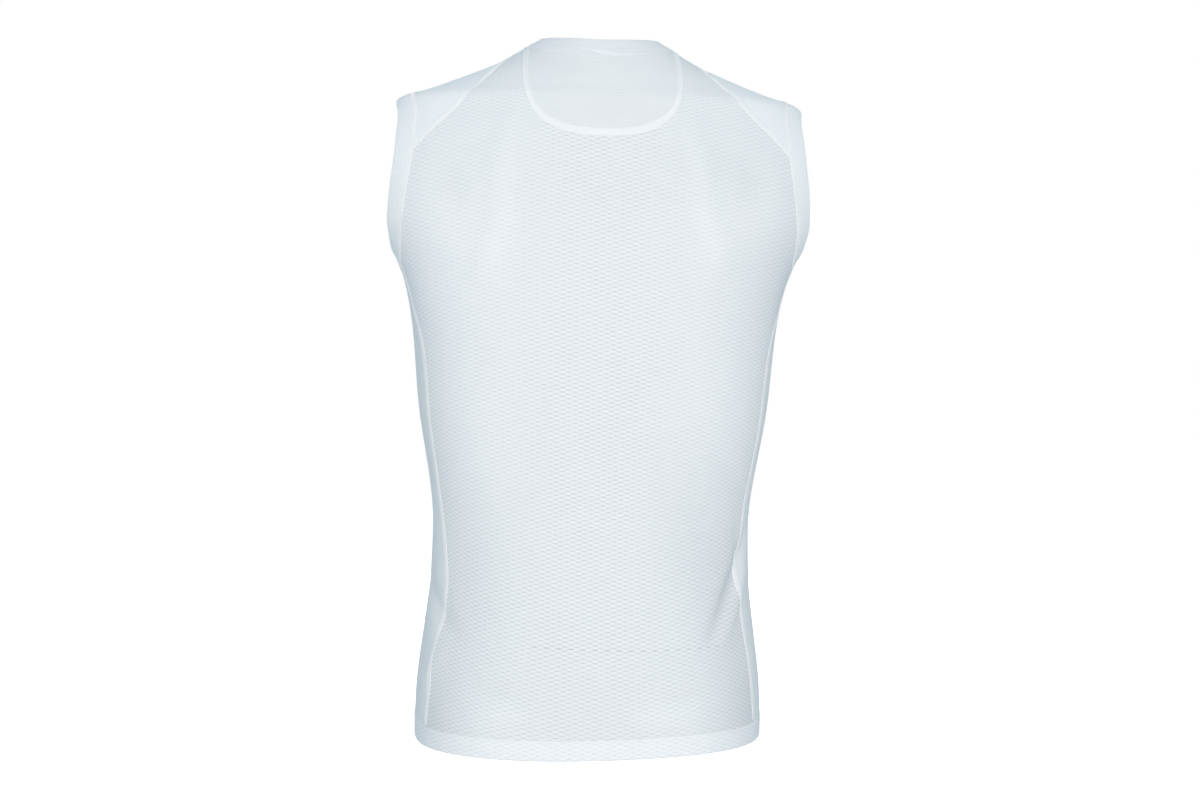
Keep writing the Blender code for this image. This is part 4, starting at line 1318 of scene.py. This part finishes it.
def sew_yoke_tape():
    half = YOKE[YOKE[:, 1] < neck_place(YOKE_AT_NECK)[1] - TAPE_END_DROP]
    path = np.concatenate([mirrored(half)[::-1], half[1:]])
    low = OUTER + 0.0001
    strip = raised_strip(path, TAPE_WIDTH, low, TAPE_RISE, 0.002, TAPE_SLIMMING, TAPE_END_BLUNTNESS)
    tape = weld([strip], "yoke_tape_weave")
    piece = finish_cloth("yoke_tape_weave", tape, tape_weave)
    rows = [stitch_row(path, side * TAPE_STITCHES * TAPE_WIDTH, low + TAPE_RISE) for side in (-1.0, 1.0)]
    finish_cloth("yoke_tape_thread", weld(rows, "yoke_tape_thread"), sewing_thread)
    return piece


def sew_edges():
    """The stitches that hold the neck band's and the hem's seams."""
    neck = neck_path(0.0, 360.0)
    hem = hem_line(0.0, 2.0 * math.pi)
    rows = [stitch_row(neck, 0.0012, DOUBLED), stitch_row(neck, 0.0078, DOUBLED)]
    rows += [stitch_row(hem, -0.0020, DOUBLED), stitch_row(hem, 0.0010, OUTER)]
    finish_cloth("edge_threads", weld(rows, "edge_threads"), sewing_thread)


# ---------------------------------------------------------------- studio
def place_camera():
    back = Vector((math.sin(CAMERA_AZIMUTH), -math.cos(CAMERA_AZIMUTH), 0.0))
    level = (-back).to_track_quat("-Z", "Y")
    camera = bpy.data.cameras.new("camera")
    camera.sensor_width = SENSOR
    camera.lens = SENSOR * CAMERA_DISTANCE / VIEW_WIDTH
    camera.clip_start, camera.clip_end = 0.01, 100.0
    holder = set_up("camera", camera)
    holder.location = Vector((0.0, 0.0, CAMERA_HEIGHT)) + level @ Vector((CAMERA_ASIDE, 0.0, 0.0))
    holder.location += back * CAMERA_DISTANCE
    holder.rotation_mode = "QUATERNION"
    holder.rotation_quaternion = level @ Matrix.Rotation(CAMERA_ROLL, 4, "Z").to_quaternion()
    bpy.context.scene.camera = holder


def soft_box(name, where, towards, size, power):
    lamp = bpy.data.lights.new(name, "AREA")
    lamp.shape, lamp.size, lamp.size_y = "RECTANGLE", size, size
    lamp.energy = power
    lamp.color = SOFT_BOX_LIGHT
    holder = set_up(name, lamp)
    holder.location = where
    holder.rotation_mode = "QUATERNION"
    holder.rotation_quaternion = (Vector(towards) - Vector(where)).to_track_quat("-Z", "Y")
    holder.visible_camera = False


ROOM_LIGHT = (0.395, 0.515, 0.578, 1.0)
SOFT_BOX_LIGHT = (1.0, 0.873, 0.810)
SOFT_BOX_POWER = 54.0
TOP_BOX_POWER = 9.0
FLOOR_HEIGHT = -0.72


def light_studio():
    world = bpy.data.worlds.new("white_room")
    bpy.context.scene.world = world
    world.use_nodes = True
    tree = world.node_tree
    tree.nodes["Background"].inputs["Color"].default_value = ROOM_LIGHT
    backdrop = add_node(tree, "ShaderNodeBackground", Color=(1.0, 1.0, 1.0, 1.0), Strength=1.0)
    seen = add_node(tree, "ShaderNodeLightPath").outputs["Is Camera Ray"]
    mixed = add_node(tree, "ShaderNodeMixShader", i0=seen, i1=tree.nodes["Background"].outputs[0])
    tree.links.new(backdrop.outputs[0], mixed.inputs[2])
    tree.links.new(mixed.outputs[0], tree.nodes["World Output"].inputs["Surface"])
    soft_box("soft_box_behind", (0.0, -3.0, -0.1), (0.0, 0.0, -0.32), 2.0, SOFT_BOX_POWER)
    soft_box("soft_box_ahead", (0.0, 3.0, -0.1), (0.0, 0.0, -0.32), 2.0, SOFT_BOX_POWER)
    soft_box("soft_box_above", (0.0, 0.0, 2.2), (0.0, 0.0, 0.0), 2.0, TOP_BOX_POWER)


def lay_floor():
    bm = bmesh.new()
    bmesh.ops.create_circle(bm, cap_ends=True, segments=96, radius=6.0)
    bmesh.ops.translate(bm, vec=(0.0, 0.0, FLOOR_HEIGHT), verts=bm.verts)
    mesh = mesh_from(bm, "floor")
    floor = set_up("floor", mesh)
    material, tree, shader = make_material("pale_floor")
    shader.inputs["Base Color"].default_value = (0.80, 0.81, 0.82, 1.0)
    shader.inputs["Roughness"].default_value = 0.9
    shader.inputs["Emission Color"].default_value = (1.0, 1.0, 1.0, 1.0)
    seen = add_node(tree, "ShaderNodeLightPath").outputs["Is Camera Ray"]
    tree.links.new(do_maths(tree, "MULTIPLY", seen, 0.75), shader.inputs["Emission Strength"])
    mesh.materials.append(material)


# ---------------------------------------------------------------- the vest
def declare(piece, node):
    """Hides the frame's piece that a sheet of cloth replaces."""
    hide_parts(node)


def make_vest():
    declare(back_panel(), "back_panel")
    declare(front_panel(), "front_panel")
    declare(side_panel("side_knit_right", False), "side_panel_right")
    declare(side_panel("side_knit_left", True), "side_panel_left")
    declare(shoulder_panel("shoulder_knit_right", False), "shoulder_panel_right")
    declare(shoulder_panel("shoulder_knit_left", True), "shoulder_panel_left")
    declare(yoke(), "back_neck_yoke")
    declare(sew_yoke_tape(), "yoke_tape")
    declare(neck_band(), "neck_band")
    declare(armhole_band("armhole_knit_right", False), "armhole_band_right")
    declare(armhole_band("armhole_knit_left", True), "armhole_band_left")
    declare(hem_band(), "hem_band")
    sew_seams()
    sew_edges()


bpy.context.scene.view_settings.view_transform = "Standard"
place_camera()
light_studio()
lay_floor()
make_vest()
